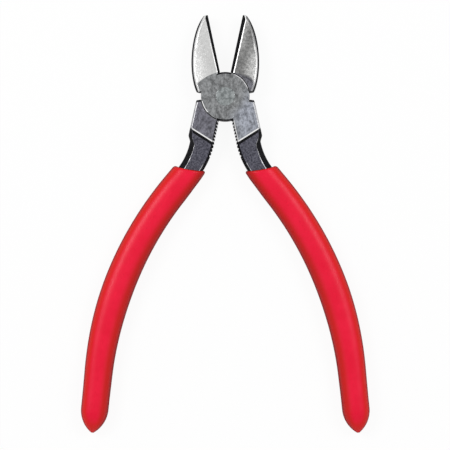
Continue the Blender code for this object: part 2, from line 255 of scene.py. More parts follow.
def relief_corners(half, shoulder, face):
    """Corners under the cutting edge, where the relief runs back to the lower face."""
    bevel = min(RELIEF_WIDTH, shoulder / 2)
    foot = half - EDGE_DROP - RELIEF_DEPTH
    run_back = (foot + half) / math.tan(math.radians(RELIEF_DEG))
    hollow = min(bevel + run_back, shoulder - RELIEF_MARGIN)
    return [(hollow, -face(hollow), HOLLOW_ROUND, HONED), (bevel, foot, BEVEL_ROUND, HONED)]


foot_drop = EDGE_DROP + RELIEF_DEPTH
print("the edge lies", 1000 * EDGE_DROP, "mm below the face, its relief", round(1000 * foot_drop, 1), "mm")

# %% Lean the blade's side
SIDE_LEAN, LEAN_RATIO = 0.00016, 20
SIDE_ROLL, ROLL_RATIO = 0.00058, 8
ROLL_DROP = 0.0005
ROLL_ROUND, CHAMFER_ROUND = 0.00008, 0.00015


def blade_side(width, half):
    """Corners of a blade's side, from the foot of its chamfer out to the lean of the dies."""
    lean = min(SIDE_LEAN, width / LEAN_RATIO)
    roll = lean + min(SIDE_ROLL, width / ROLL_RATIO)
    return [(width - roll, half, ROLL_ROUND), (width - lean, half - ROLL_DROP, CHAMFER_ROUND)]


print("the side leans out by", round(1000 * SIDE_LEAN, 2), "mm below a roll of", 1000 * SIDE_ROLL, "mm")

# %% Draw the blade's section
BACK_CHAMFER = 0.00050
BACK_DROP = 0.00045
BACK_RATIO = 5
FACE_STRIPS = 6
STRIP_MARGIN = 0.0003
EDGE_ROUND, STRIP_ROUND, FACE_ROUND, PARTING_ROUND = 0.00003, 0.0002, 0.00005, 0.0004


def blade_section(width, halves, ground_edge, finish=BLADE, edge_finish=BACK, wire_finish=WIRE):
    """Section of a blade from its cutting edge out to its back, as high as the two halves there."""
    def face(reach):
        return between(*halves, reach / width)

    side = blade_side(width, face(width) - min(BACK_DROP, halves[1] / BACK_RATIO))
    shoulder = side[0][0] - min(BACK_CHAMFER, width / BACK_RATIO)
    strip = min(ground_edge, shoulder - STRIP_MARGIN)
    chamfer = (shoulder, face(shoulder), CHAMFER_ROUND)
    corners = [(0.0, face(0.0) - EDGE_DROP, EDGE_ROUND, HONED)]
    corners.append((strip, face(strip), STRIP_ROUND, finish, wire_finish))
    for i in range(1, FACE_STRIPS):
        reach = between(strip, shoulder, i / FACE_STRIPS)
        corners.append((reach, face(reach), FACE_ROUND, finish))
    corners.append((*chamfer, edge_finish, edge_finish))
    corners += [(*corner, BLACKED) for corner in side]
    corners.append((width, 0.0, PARTING_ROUND, BLACKED))
    under = [(reach, -height, size) for reach, height, size in side[::-1] + [chamfer]]
    corners += [(*corner, paint) for corner, paint in zip(under, (BLACKED, edge_finish, finish))]
    return soft_section(corners + relief_corners(halves[0], shoulder, face))


trial_points, trial_finishes = blade_section(0.008, (HALF_STEEL, HALF_STEEL), 0.001)
print("a blade's section has", len(trial_points), "points and", len(set(trial_finishes)), "finishes")

# %% [markdown]
# ## The blade's skin
# A blade starts with a shoulder, whose edge is rolled off and catches the light on the front
# lever. Past it a crease bows round the joint, and from there the ground leaf runs to the
# tip. Extruding the plan would leave the face level and the shoulder sharp. So the skin has
# two stretches of sections: a few steps over the shoulder, and even stations along the leaf.

# %% Roll off the blade's shoulder
ROOT_RADIUS = BOSS_RADIUS / 3
SHOULDER_ROUND = 0.0006
INSET_RATIO = 6
SHOULDER_STEPS = ((0.0, 0.00050, CAUGHT, CAUGHT), (0.5, 0.0, GROUND, BACK), (1.0, 0.0, GROUND, BACK))
BEVEL_WIDTHS = {1: (0.00092, 0.00132), -1: (0.00108, 0.00164)}


def blade_shoulder(hand):
    """Sections of a blade's shoulder, each some share up it and sunk below the ground face."""
    root = plan_point(180.0 - BLADE_SHOULDER_DEG, ROOT_RADIUS)
    corner = blade_curve[0]
    inward = (root - corner).normalized() * SHOULDER_ROUND / INSET_RATIO
    upward = (CREASE_END - corner).normalized() * SHOULDER_ROUND
    rows = []
    for share, sunk, finish, edge_finish in SHOULDER_STEPS:
        inner = root + upward * share
        outer = corner + upward * share + inward * (1.0 - share) ** 2
        halves = [HALF_STEEL - sunk] * 2
        width = (outer - inner).length
        section = blade_section(width, halves, BEVEL_WIDTHS[hand][0], finish, edge_finish, finish)
        rows.append(stood(inner, outer, *section))
    return rows


print("the shoulder takes", len(blade_shoulder(1)), "sections")

# %% Skin the leaf
CREASE_BOW = 0.0009


def blade_leaf(hand):
    """Sections of a blade from its crease to its tip."""
    rows = []
    for station in range(BLADE_STATIONS + 1):
        to_tip = station / BLADE_STATIONS
        inner = Vector((CREASE_START.x, between(CREASE_START.y, BLADE_LENGTH, to_tip)))
        outer = blade_curve[CREASE_STATION + station]
        halves = [blade_half(point) for point in (inner, outer)]
        section = blade_section((outer - inner).length, halves, between(*BEVEL_WIDTHS[hand], to_tip))
        rows.append(stood(inner, outer, *section, CREASE_BOW * (1.0 - to_tip)))
    return rows


print("the leaf takes", len(blade_leaf(1)), "sections")

# %% [markdown]
# ## The shanks and tangs
# Below the boss each lever runs down a ground shank with a row of plier teeth on its inner
# side, steps down to a black forged neck, and bends out into the tang that the grip covers.
# A curve object could follow that line, but its points would be hard to find again. Here
# the centreline is a chain of straight runs and arcs, so that a point can be found at any
# run along it, and sections are set beside it.

# %% Chain the handle's stretches
SHANK_WIDTH = 0.0088
TOOTH_GAP = 0.00045
SHANK_CENTRE = TOOTH_GAP + SHANK_WIDTH / 2
NECK_DROP = 0.0181
NECK_RADIUS, NECK_STRAIGHT = 0.0268, 0.0057
BOW_RADIUS, TAIL_STRAIGHT = 0.1262, 0.0227
SPLAY, TAIL_LEAN = math.radians(27.7), math.radians(-6.0)
HANDLE_STRETCHES = (
    (NECK_RADIUS * SPLAY, SPLAY),
    (NECK_STRAIGHT, 0.0),
    (BOW_RADIUS * (SPLAY - TAIL_LEAN), TAIL_LEAN - SPLAY),
    (TAIL_STRAIGHT, 0.0),
)
HANDLE_LENGTH = sum(length for length, turn in HANDLE_STRETCHES)
print("a handle is", round(1000 * HANDLE_LENGTH, 1), "mm long from neck to end")

# %% Find a point beside it
def beside(run, offset):
    """Plan point beside the centreline, run metres below the neck and offset metres outward."""
    point = Vector((SHANK_CENTRE, -NECK_DROP - min(run, 0.0)))
    lean = 0.0
    for length, turn in HANDLE_STRETCHES:
        used = min(max(run, 0.0), length)
        run -= used
        if turn:
            radius = length / turn
            after = lean + used / radius
            point += radius * Vector((math.cos(lean) - math.cos(after), math.sin(lean) - math.sin(after)))
            lean = after
        else:
            point += used * Vector((math.sin(lean), -math.cos(lean)))
    return point + offset * Vector((math.cos(lean), math.sin(lean)))


print("closed, a handle ends", round(1000 * beside(HANDLE_LENGTH, 0.0).x, 1), "mm from the middle line")

# %% Find the edge of the dip
NECK_LENGTH = HANDLE_STRETCHES[0][0] + HANDLE_STRETCHES[1][0]
DIP_DROP = 0.0283
HALVINGS = 40


def run_at_dip(offset):
    """Run at which a line beside the centreline reaches the edge of the dip."""
    low, high = 0.0, NECK_LENGTH + BOW_RADIUS / 2
    for halving in range(HALVINGS):
        middle = (low + high) / 2
        low, high = (middle, high) if beside(middle, offset).y > -DIP_DROP else (low, middle)
    return low


mouth_run = run_at_dip(0.0)
print("the grip's mouth is", round(1000 * mouth_run, 1), "mm below the neck")

# %% Give the steel its width
TANG_END_COVER = 0.0120
TANG_LENGTH = HANDLE_LENGTH - TANG_END_COVER
TANG_WIDTHS = (0.0076, 0.0060)
FLANK_OVERHANG = 0.0015
FLANK = BOSS_RADIUS + FLANK_OVERHANG
FLANK_GROWTH = 0.00010
FLARE_DROP, FLARE_LENGTH = 0.0162, 0.0026


def half_width(run):
    """Half the width of the shank, neck and tang."""
    if run < NECK_LENGTH:
        return between(SHANK_WIDTH, TANG_WIDTHS[0], run / NECK_LENGTH) / 2
    return between(*TANG_WIDTHS, (run - NECK_LENGTH) / (TANG_LENGTH - NECK_LENGTH)) / 2


def outer_offset(run):
    """Distance of the outer side from the centreline, with the flared flank above the neck."""
    past_flare = run - (FLARE_DROP - NECK_DROP)
    flank = FLANK - SHANK_CENTRE + between(0.0, FLANK_GROWTH, 1.0 + past_flare / FLARE_DROP)
    return eased(flank, half_width(run), past_flare / FLARE_LENGTH)


print("the neck is", round(2000 * half_width(mouth_run), 2), "mm wide at the grip's mouth")

# %% Give the steel its thickness
TOOTH_PITCH = 0.0012
TEETH, GROUND_TEETH = 11, 7
TEETH_DROP = 0.0094
TEETH_TOP = TEETH_DROP - NECK_DROP
TEETH_END = TEETH_TOP + TEETH * TOOTH_PITCH
STEP_RUN = TEETH_TOP + GROUND_TEETH * TOOTH_PITCH
BLACK_THICKNESSES = (0.0082, 0.0060, 0.0050)


def black_half(run):
    """Half the thickness of the black steel below the step."""
    at_step, at_mouth, at_end = BLACK_THICKNESSES
    if run < mouth_run:
        return between(at_step, at_mouth, (run - STEP_RUN) / (mouth_run - STEP_RUN)) / 2
    return between(at_mouth, at_end, (run - mouth_run) / (TANG_LENGTH - mouth_run)) / 2


print("the neck is", round(2000 * black_half(NECK_LENGTH), 2), "mm thick where the tang starts")

# %% [markdown]
# ## The step in the shank
# The ground face ends in a slanted step: first a thin bright chamfer, then a black slope
# down to the forged neck. It could be a Boolean cut, but the teeth run across it. So the
# height of the section falls at two runs, and another finish is named at each of them.

# %% Draw the step
STEP_LEAD = 0.00085
CHAMFER_DROP, CHAMFER_LENGTH = 0.00022, 0.00040
SLOPE_LENGTH = 0.00105
STEP_EDGE = STEP_RUN - STEP_LEAD
STEP_CHAMFER = STEP_EDGE + CHAMFER_LENGTH
STEP_FOOT = STEP_CHAMFER + SLOPE_LENGTH


def face_half(run):
    """Height of the shank's face over the middle of the steel."""
    sunk = HALF_STEEL - CHAMFER_DROP
    if run <= STEP_CHAMFER:
        return between(HALF_STEEL, sunk, (run - STEP_EDGE) / (STEP_CHAMFER - STEP_EDGE))
    return between(sunk, black_half(run), (run - STEP_CHAMFER) / (STEP_FOOT - STEP_CHAMFER))


print("the step is", round(1000 * (HALF_STEEL - face_half(STEP_FOOT)), 2), "mm deep")

# %% Name its finishes
def face_finish(run):
    """Finish of the shank's face from this run on."""
    if run < STEP_EDGE:
        return GROUND
    if run < STEP_CHAMFER:
        return BRIGHT
    return BLACKED if run < STEP_FOOT else RUBBED


def past_step(run):
    """0 on the ground shank and 1 on the black neck."""
    return eased(0.0, 1.0, (run - STEP_EDGE) / (STEP_FOOT - STEP_EDGE))


step_finishes = [face_finish(run) for run in (TEETH_TOP, STEP_EDGE, STEP_CHAMFER, STEP_FOOT)]
print("down the step the face goes through", len(set(step_finishes)), "finishes")

# %% [markdown]
# ## The shank's section
# The outer corner of the shank is a chamfer, narrow and scuffed above the step, wide and
# black below it, where its upper edge is worn bright by hands and pockets. On the inner side
# a thin line beside the teeth catches the light on the front lever, and near the grip the
# inner edge is worn too. This wear could be painted on, but as a strip of the section it
# stays a clean line at any size. The lower half is the upper one turned over.

# %% Chamfer the outer side
OUTER_CHAMFER_WIDTHS = (0.00055, 0.0011, 0.0020)
OUTER_CHAMFER_DEPTHS = (0.00035, 0.0012)
WIDENING_RUN = 0.0035


def outer_chamfer(run):
    """Width and depth of the chamfer along the shank's outer side."""
    above, at_foot, on_neck = OUTER_CHAMFER_WIDTHS
    below = between(at_foot, on_neck, (run - STEP_FOOT) / WIDENING_RUN)
    return between(above, below, past_step(run)), between(*OUTER_CHAMFER_DEPTHS, past_step(run))


print("on the neck the chamfer measures", [round(1000 * size, 2) for size in outer_chamfer(0.0)], "mm")

# %% Choose the finishes along the edges
WORN_FROM = STEP_FOOT + 0.0016
INNER_WORN_FROM = mouth_run - 0.0040


def edge_finishes(run, finish):
    """Finishes of the chamfer, the side, the line above the chamfer and the inner rim."""
    above = run < STEP_CHAMFER and finish != BLACKED
    chamfer, side, line = (SCUFFED, GROUND, SCUFFED) if above else (BLACKED, BLACKED, RUBBED)
    line = WORN if run > WORN_FROM else line
    rim = CAUGHT if finish == GROUND and run > TEETH_TOP else finish
    rim = WORN if run > INNER_WORN_FROM else rim
    return chamfer, side, line, rim


print("the outer line is worn for the last", round(1000 * (mouth_run - WORN_FROM), 1), "mm above the grip")

# %% Draw the shank's section
SHANK_LEAN = 0.00020
RIM_WIDTH = 0.00022
INNER_ROUND, LINE_ROUND, SIDE_ROUND = 0.00004, 0.00011, 0.0003


def shank_section(width, run, half, finish, inner_edge, grow=0.0):
    """Section of a shank: the tooth side at reach 0, the chamfered and leaning outer side at width."""
    across, down = outer_chamfer(run)
    edge = width - SHANK_LEAN
    high = half + grow
    chamfer, side, line, rim = edge_finishes(run, finish)
    front = [(0.0, high - inner_edge, INNER_ROUND, BLACKED), (inner_edge, high, INNER_ROUND, rim)]
    front.append((inner_edge + RIM_WIDTH, high, INNER_ROUND, finish))
    front.append((edge - across, high, LINE_ROUND, chamfer, line))
    front.append((edge, high - down, CHAMFER_ROUND, side))
    back = []
    for i, (reach, height, size, paint, *round_finish) in enumerate(front):
        back.insert(0, (reach, -height, size, front[i - 1][3], *round_finish))
    return soft_section(front + [(width, 0.0, SIDE_ROUND, side)] + back)


trial_points, trial_finishes = shank_section(SHANK_WIDTH, 0.0, black_half(0.0), RUBBED, 0.0004)
print("a shank's section has", len(trial_points), "points and", len(set(trial_finishes)), "finishes")

# %% [markdown]
# ## The plier teeth
# The teeth are short grooves across the inner side of the shank, seven on the ground part
# and four shallower ones on the neck. An array of cutters would work, but the row bends with
# the neck. So each section is cut back along its own line by a depth that rises and falls
# with the run, and sixteen sections to a tooth draw the flat crests and roots.

# %% Cut the teeth
TOOTH_DEPTHS = (0.00064, 0.00040)
FLANK_PHASE, CREST_PHASE = 0.10, 0.38


def tooth_cut(run):
    """Depth of the plier teeth at a run: flat crests and flat roots with short flanks."""
    if not TEETH_TOP <= run < TEETH_END:
        return 0.0
    phase = ((run - TEETH_TOP) / TOOTH_PITCH) % 1.0
    into_root = between(0.0, 1.0, phase / FLANK_PHASE)
    out_of_root = between(0.0, 1.0, (phase - CREST_PHASE) / FLANK_PHASE)
    return (into_root - out_of_root) * between(*TOOTH_DEPTHS, past_step(run))


print("the first tooth is", round(1000 * tooth_cut(TEETH_TOP + TOOTH_PITCH / 4), 2), "mm deep")

# %% Chamfer the teeth
ROOT_EDGES = (0.00008, 0.00040)
CREST_EDGES = (0.00070, 0.00090)
NECK_EDGE = 0.0010


def tooth_edge(run):
    """Chamfer of the inner side: small in a root, wider on a crest, and even below the teeth."""
    crest = 1.0 - tooth_cut(run) / TOOTH_DEPTHS[0]
    in_root = between(*ROOT_EDGES, past_step(run))
    on_crest = between(*CREST_EDGES, past_step(run))
    return eased(between(in_root, on_crest, crest), NECK_EDGE, (run - TEETH_END) / TOOTH_PITCH)


print("below the teeth the inner chamfer is", round(1000 * tooth_edge(NECK_LENGTH), 2), "mm wide")

# %% Slant the sections
SLANT = 0.0036


def shank_row(run, grow=0.0):
    """Section of the shank, neck or tang at a run, slanted towards the joint."""
    outer_run = run - eased(SLANT, 0.0, (run - TEETH_END) / (NECK_LENGTH - TEETH_END))
    inner = beside(run, -half_width(run) - grow)
    outer = beside(outer_run, outer_offset(outer_run) + grow)
    inner += (outer - inner).normalized() * tooth_cut(run)
    width = (outer - inner).length
    section = shank_section(width, run, face_half(run), face_finish(run), tooth_edge(run), grow)
    return stood(inner, outer, *section)


print("the teeth and the step rise by", 1000 * SLANT, "mm towards the outer side")

# %% Choose the runs
TOOTH_SECTIONS, NECK_SECTIONS, TANG_SECTIONS = 16, 20, 30
LEAD_SECTIONS = 4
CLOSEST_RUNS = 0.00002


def shank_runs():
    """Runs of all sections from just above the first tooth to the end of the tang."""
    tooth_steps = range(-LEAD_SECTIONS, TEETH * TOOTH_SECTIONS + 1)
    runs = [TEETH_TOP + step * TOOTH_PITCH / TOOTH_SECTIONS for step in tooth_steps]
    runs += [STEP_EDGE, STEP_CHAMFER, STEP_FOOT]
    runs += [between(TEETH_END, NECK_LENGTH, i / NECK_SECTIONS) for i in range(1, NECK_SECTIONS)]
    runs += [between(NECK_LENGTH, TANG_LENGTH, i / TANG_SECTIONS) for i in range(TANG_SECTIONS + 1)]
    kept = []
    for run in sorted(runs):
        if not kept or run - kept[-1] > CLOSEST_RUNS:
            kept.append(run)
    return kept


print("the teeth and the tang take", len(shank_runs()), "sections")

# %% Skin a shank
SHANK_SHOULDER_DEG = 19.5
SHANK_TOP_STEPS = ((0.0, 0.00090, BLACKED), (1.4, 0.0, GROUND), (1.7, 0.0, GROUND))
SHANK_TOP_EDGE = 0.0004


def shank_sections():
    """Sections from the black shoulder under the boss to the end of the tang."""
    corner = plan_point(-SHANK_SHOULDER_DEG, FLANK / math.cos(math.radians(SHANK_SHOULDER_DEG)))
    root = plan_point(-SHANK_SHOULDER_DEG, ROOT_RADIUS)
    inward = (root - corner).normalized() * SHOULDER_ROUND / INSET_RATIO
    rows = []
    for share, sunk, finish in SHANK_TOP_STEPS:
        down = Vector((0.0, -SHOULDER_ROUND * share))
        inner = root + down
        outer = corner + down + inward * (1.0 - share) ** 2
        width = (outer - inner).length
        section = shank_section(width, TEETH_TOP, HALF_STEEL - sunk, finish, SHANK_TOP_EDGE)
        rows.append(stood(inner, outer, *section))
    return rows + [shank_row(run) for run in shank_runs()]


print("a shank is skinned over", len(shank_sections()), "sections")

# %% [markdown]
# ## The lap joint
# Each lever is cut away to half its thickness round the rivet, and the two discs that are
# left lie on each other. Cylinders could be the tools for that, but they have no broken
# edges. So the disc, the recess for the other one and the rivet's hole are each turned from
# a profile, and Boolean modifiers do the fitting as a milling cutter would.

# %% Turn a profile
CIRCLE_SIDES = 144


def turned(profile):
    """Closed solid of revolution through (radius, height, finish) points."""
    sections = []
    for radius, height, finish in profile:
        angles = [math.tau * i / CIRCLE_SIDES for i in range(CIRCLE_SIDES)]
        ring = [(radius * math.cos(a), radius * math.sin(a), height) for a in angles]
        sections.append((ring, [finish] * CIRCLE_SIDES))
    return skin(sections, end_finish=GROUND)


print("a turned piece has", CIRCLE_SIDES, "sides")

# %% Drill for the rivet
RIVET_HEAD, RIVET_BODY, HEAD_DEPTH = 0.00345, 0.0026, 0.0013
HOLE_GAP = 0.00003
DRILL_PAST = 0.002


def rivet_hole():
    """Profile of the rivet's hole: a little wider than the rivet, and run past both faces."""
    widening = (RIVET_HEAD - RIVET_BODY) / HEAD_DEPTH
    head = (RIVET_HEAD + HOLE_GAP + DRILL_PAST * widening, HALF_STEEL + DRILL_PAST)
    body = (RIVET_BODY + HOLE_GAP, HALF_STEEL - HEAD_DEPTH)
    lower = [(radius, -height) for radius, height in (head, body)]
    return [(radius, height, BLACKED) for radius, height in (*lower, body, head)]


print("the rivet's hole is", round(2000 * rivet_hole()[1][0], 2), "mm across")

# %% Mill the recess
DISC_RADIUS = 0.00882
RECESS_GAP = 0.00008
PAST_LAP = 0.0002
BREAK_WIDTH, BREAK_HEIGHT = 0.00012, 0.0002
CUTTER_FLARE, CUTTER_PAST = 0.0022, 0.003


def recess_profile(side):
    """Profile of the cutter that makes room for the other lever's disc and breaks the edge there."""
    wall = DISC_RADIUS + RECESS_GAP
    points = [(wall, PAST_LAP), (wall, -HALF_STEEL + BREAK_HEIGHT)]
    points += [(wall + BREAK_WIDTH, -HALF_STEEL), (wall + CUTTER_FLARE, -HALF_STEEL - CUTTER_PAST)]
    return [(radius, side * height, BLACKED) for radius, height in points]


print("the recess is", round(2000 * recess_profile(1)[0][0], 2), "mm across")

# %% [markdown]
# ## The rim of the disc
# A small round draws the disc's outline over the other lever. In the throat and between the
# shanks the rim is black: partly black oxide, partly a painted shade line along the disc's edge.
# Over the other shank it is bright steel, partly a painted highlight, and over the other blade
# it is scuffed. Separate arcs of metal would leave seams. So the rim stays one ring, and each
# of its faces takes the finish of the sector that it lies in.

# %% Turn a lap disc
LAP_GAP = 0.00015
DISC_SUNK = 0.000006
RIM_ROUNDS = ((0.0, 0.00018), (0.00018, 0.00001), (0.00042, 0.000004))
RIM_END = 0.0006


def disc_profile(side):
    """Profile of a lap disc, above the lap for side 1 and below it for side -1."""
    face = HALF_STEEL - DISC_SUNK
    points = [(0.0, LAP_GAP, BLACKED)]
    points += [(inward, face - sunk, SCUFFED) for inward, sunk in RIM_ROUNDS]
    points.append((RIM_END, face, GROUND))
    return [(DISC_RADIUS - inward, side * height, finish) for inward, height, finish in points]


print("a lap disc is", round(2000 * DISC_RADIUS, 2), "mm across")

# %% Finish its rim
# The black sectors are partly oxide and partly painted shade; the bright sector is partly a painted
# highlight.
RIM_SECTORS = (
    (62.0, 100.0, BLACKED, 0.0006),
    (-122.0, -76.0, BLACKED, 0.0004),
    (-179.0, -149.0, BRIGHT, 0.0004),
    (8.0, 56.0, SCUFFED, 0.0004),
)


def lap_disc(hand):
    """A lap disc whose rim has other finishes over some sectors, to a depth from its edge."""
    disc = turned(disc_profile(hand))
    for face in [face for face in disc.faces if face.material_index == SCUFFED]:
        middle = face.calc_center_median()
        turn = math.degrees(math.atan2(middle.y, hand * middle.x))
        face.material_index = GROUND
        for start, end, finish, depth in RIM_SECTORS:
            if start < turn < end and middle.xy.length > DISC_RADIUS - depth:
                face.material_index = finish
    return disc


print("the rim has", len(RIM_SECTORS), "sectors with a finish of their own")

# %% [markdown]
# ## Finishes from nodes
# Every finish is a Principled shader with noise behind its colour, roughness and bump. Image
# textures would blur in a close view, and noise doesn't. Small helpers keep the node work
# readable, and a trial finish shows what each of them adds. Grain sizes are real lengths,
# because object coordinates are in metres.

# %% Start a finish
def add_node(tree, kind, settings=(), **dials):
    """Node of a kind, with its settings and the values on its sockets."""
    made = tree.nodes.new("ShaderNode" + kind)
    for name, value in dict(settings).items():
        setattr(made, name, value)
    for name, value in dials.items():
        made.inputs[name].default_value = value
    return made


def new_finish(name, metallic, shine):
    """Empty finish: its material, its node tree and its shader."""
    finish = bpy.data.materials.new(name)
    finish.use_nodes = True
    shader = finish.node_tree.nodes["Principled BSDF"]
    shader.inputs["Metallic"].default_value = metallic
    shader.inputs["Specular IOR Level"].default_value = shine
    return finish, finish.node_tree, shader


trial_finish, trial_tree, trial_shader = new_finish("trial_finish", metallic=1.0, shine=0.5)
print("a new finish has", len(trial_tree.nodes), "nodes, and its shader is", trial_shader.name)

# %% Make noise of a given grain
def grain(tree, size, stretch=(1.0, 1.0, 1.0), turn_deg=0.0, detail=4.0, crisp=0.6):
    """Noise whose grains are about size metres across, drawn out along one direction."""
    place = add_node(tree, "TexCoord")
    laid = add_node(tree, "Mapping")
    laid.inputs["Rotation"].default_value = (0.0, 0.0, math.radians(turn_deg))
    laid.inputs["Scale"].default_value = stretch
    noise = add_node(tree, "TexNoise", Scale=1.0 / size, Detail=detail, Roughness=crisp)
    tree.links.new(place.outputs["Object"], laid.inputs["Vector"])
    tree.links.new(laid.outputs["Vector"], noise.inputs["Vector"])
    return noise.outputs["Fac"]


trial_noise = grain(trial_tree, 0.001)
print("a grain of 1 mm is a noise scale of", round(trial_noise.node.inputs["Scale"].default_value))

# %% Move a value to another range
def spread(tree, source, low, high, start=0.0, end=1.0):
    """A value moved from the range low..high to start..end."""
    ranged = add_node(tree, "MapRange", {"interpolation_type": "SMOOTHSTEP"})
    for name, value in (("From Min", low), ("From Max", high), ("To Min", start), ("To Max", end)):
        ranged.inputs[name].default_value = value
    tree.links.new(source, ranged.inputs["Value"])
    return ranged.outputs["Result"]


BLOTCH_SPAN = (0.33, 0.67)
trial_blotches = spread(trial_tree, trial_noise, *BLOTCH_SPAN)
print("blotches are noise from", *BLOTCH_SPAN, "through a node named", trial_blotches.node.name)

# %% Mix and multiply
# A Mix node has a pair of sockets for each kind of value. These are the ones for colours.
COLOUR_SOCKETS, MIXED_COLOUR = (6, 7), 2


def tinted(tree, mask, under, over):
    """Colour that goes from under to over as the mask goes from 0 to 1."""
    mixed = add_node(tree, "Mix", {"data_type": "RGBA"})
    tree.links.new(mask, mixed.inputs["Factor"])
    for socket, colour in zip(COLOUR_SOCKETS, (under, over)):
        if isinstance(colour, tuple):
            mixed.inputs[socket].default_value = (*colour, 1.0)
        else:
            tree.links.new(colour, mixed.inputs[socket])
    return mixed.outputs[MIXED_COLOUR]


def times(tree, first, second):
    """Product of two values, or of a value and a number."""
    product = add_node(tree, "Math", {"operation": "MULTIPLY"})
    tree.links.new(first, product.inputs[0])
    if isinstance(second, float):
        product.inputs[1].default_value = second
    else:
        tree.links.new(second, product.inputs[1])
    return product.outputs["Value"]


trial_dimmed = times(trial_tree, trial_blotches, 0.5)
print("the trial finish now has", len(trial_tree.nodes), "nodes, the last of them", trial_dimmed.node.name)
bpy.data.materials.remove(trial_finish)

# %% [markdown]
# ## Grinding marks and bare edges
# A grinding wheel leaves fine grooves along one direction. An anisotropic shader could stand
# in for them, but stretched noise also shows the single grooves: it goes into the roughness
# and into a bump, so that highlights break up along it. The forging's thin edges are bare
# steel of this kind, blotched between two greys: bright where metal rubs on metal, duller
# where it is only scuffed.

# %% Draw the grinding marks
MARK_SIZE, MARK_DEPTH = 0.00016, 0.00003
MARK_STRETCH = (1.0, 0.05, 1.0)
MARK_SPAN = (0.3, 0.7)
ROUGH_SWING = 0.06


def ground_marks(tree, shader, turn_deg, rough, strength=0.25):
    """Grinding marks: fine grooves along one direction, in the roughness and as a bump."""
    marks = grain(tree, MARK_SIZE, MARK_STRETCH, turn_deg, detail=3.0)
    roughness = spread(tree, marks, *MARK_SPAN, rough - ROUGH_SWING, rough + ROUGH_SWING)
    tree.links.new(roughness, shader.inputs["Roughness"])
    bump = add_node(tree, "Bump", Strength=strength, Distance=MARK_DEPTH)
    tree.links.new(marks, bump.inputs["Height"])
    tree.links.new(bump.outputs["Normal"], shader.inputs["Normal"])


print("a grinding mark is", round(1000 * MARK_SIZE, 2), "mm wide")

# %% Mix bare steel
def grey(level, blue=None):
    """A neutral grey, or one with a little more or less blue."""
    return (level, level, level if blue is None else blue)


def steel_finish(name, dark, light, blotch, turn_deg=0.0, rough=0.22):
    """Bare steel with blotches between two tones and grinding marks."""
    finish, tree, shader = new_finish(name, metallic=1.0, shine=0.5)
    colour = tinted(tree, spread(tree, grain(tree, blotch), *BLOTCH_SPAN), dark, light)
    tree.links.new(colour, shader.inputs["Base Color"])
    ground_marks(tree, shader, turn_deg, rough)
    return finish


bright_edge = steel_finish("bright_edge", grey(0.78), grey(0.88), 0.0015, 30.0)
worn_edge = steel_finish("worn_edge", grey(0.07, 0.074), grey(0.50, 0.52), 0.0022, 80.0)
print("mixed", bright_edge.name, "and", worn_edge.name, "for both levers")

# %% Mix the other edges
front_finishes = {
    BRIGHT: bright_edge,
    SCUFFED: steel_finish("front_scuffed_edge", grey(0.34, 0.35), grey(0.50, 0.51), 0.0010, 80.0, 0.45),
    WORN: worn_edge,
    BACK: steel_finish("front_back_edge", grey(0.54), grey(0.64), 0.0015, 75.0, 0.4),
    CAUGHT: steel_finish("caught_edge", grey(0.66), grey(0.80), 0.0015, 30.0),
}
rear_finishes = {
    BRIGHT: bright_edge,
    SCUFFED: steel_finish("rear_scuffed_edge", grey(0.20, 0.21), grey(0.46, 0.47), 0.0010, 80.0),
    WORN: worn_edge,
    WIRE: steel_finish("rear_wire_edge", grey(0.76), grey(0.90), 0.0015, -75.0, 0.4),
}
print("the front lever has", len(front_finishes), "edges and the rear one", len(rear_finishes))

# %% [markdown]
# ## Black oxide
# The sides and the neck keep the black oxide of the heat treatment, and handling polishes it
# off along its edges first. A Bevel node gives the normal that a rounded edge would have.
# Where that differs from the real normal there is an edge, and the dot product of the two
# makes a mask for it. Pointiness would do the same, but it depends on how finely the mesh is
# cut. On the rear lever, the edges that catch the light on the front one stay black.

# %% Find the edges
EDGE_SPAN = (0.995, 0.93)
PATCH_SIZE, PATCH_SPAN = 0.0012, 0.2


def edge_mask(tree, radius, patchy):
    """1 along edges and 0 on flats, broken up by noise."""
    rounded = add_node(tree, "Bevel", {"samples": 6}, Radius=radius)
    plain = add_node(tree, "NewGeometry")
    alike = add_node(tree, "VectorMath", {"operation": "DOT_PRODUCT"})
    tree.links.new(rounded.outputs["Normal"], alike.inputs[0])
    tree.links.new(plain.outputs["Normal"], alike.inputs[1])
    edge = spread(tree, alike.outputs["Value"], *EDGE_SPAN)
    return times(tree, edge, spread(tree, grain(tree, PATCH_SIZE), patchy, patchy + PATCH_SPAN))


print("worn edges are broken up into patches of about", round(1000 * PATCH_SIZE, 1), "mm")

# %% Mix the black oxide
OXIDE_EDGE = 0.0001


def oxide_finish(name, dark, light, blotch, worn, patchy):
    """Black oxide, matt and faintly blotched, rubbed through along its edges."""
    finish, tree, shader = new_finish(name, metallic=0.0, shine=0.08)
    colour = tinted(tree, spread(tree, grain(tree, blotch), *BLOTCH_SPAN), dark, light)
    colour = tinted(tree, edge_mask(tree, OXIDE_EDGE, patchy), colour, worn)
    tree.links.new(colour, shader.inputs["Base Color"])
    ground_marks(tree, shader, turn_deg=15.0, rough=0.58)
    return finish


oxides = {
    HONED: oxide_finish(
        "honed_bevel", grey(0.002, 0.003), grey(0.006, 0.007), 0.0008, grey(0.02), 0.5),
    BLACKED: oxide_finish(
        "black_oxide", grey(0.003, 0.004), grey(0.009, 0.011), 0.0012, grey(0.03, 0.033), 0.5),
    RUBBED: oxide_finish(
        "rubbed_oxide", grey(0.036, 0.050), (0.132, 0.131, 0.163), 0.0006, grey(0.25, 0.26), 0.4),
}
front_finishes.update(oxides)
rear_finishes.update(oxides)
rear_finishes[CAUGHT] = oxides[BLACKED]
print("mixed", [finish.name for finish in oxides.values()])

# %% [markdown]
# ## Ground boss and shank
# The boss and the shank are ground flat in one pass, but they don't look the same: the boss
# is blotched, and the shank has a lighter, bluer tone. A painted image could hold the change,
# but nodes keep it sharp at any size. The masks follow the lever's own coordinates, turned
# back to where the lever was drawn, and the blotches make a tone darker and lighter.

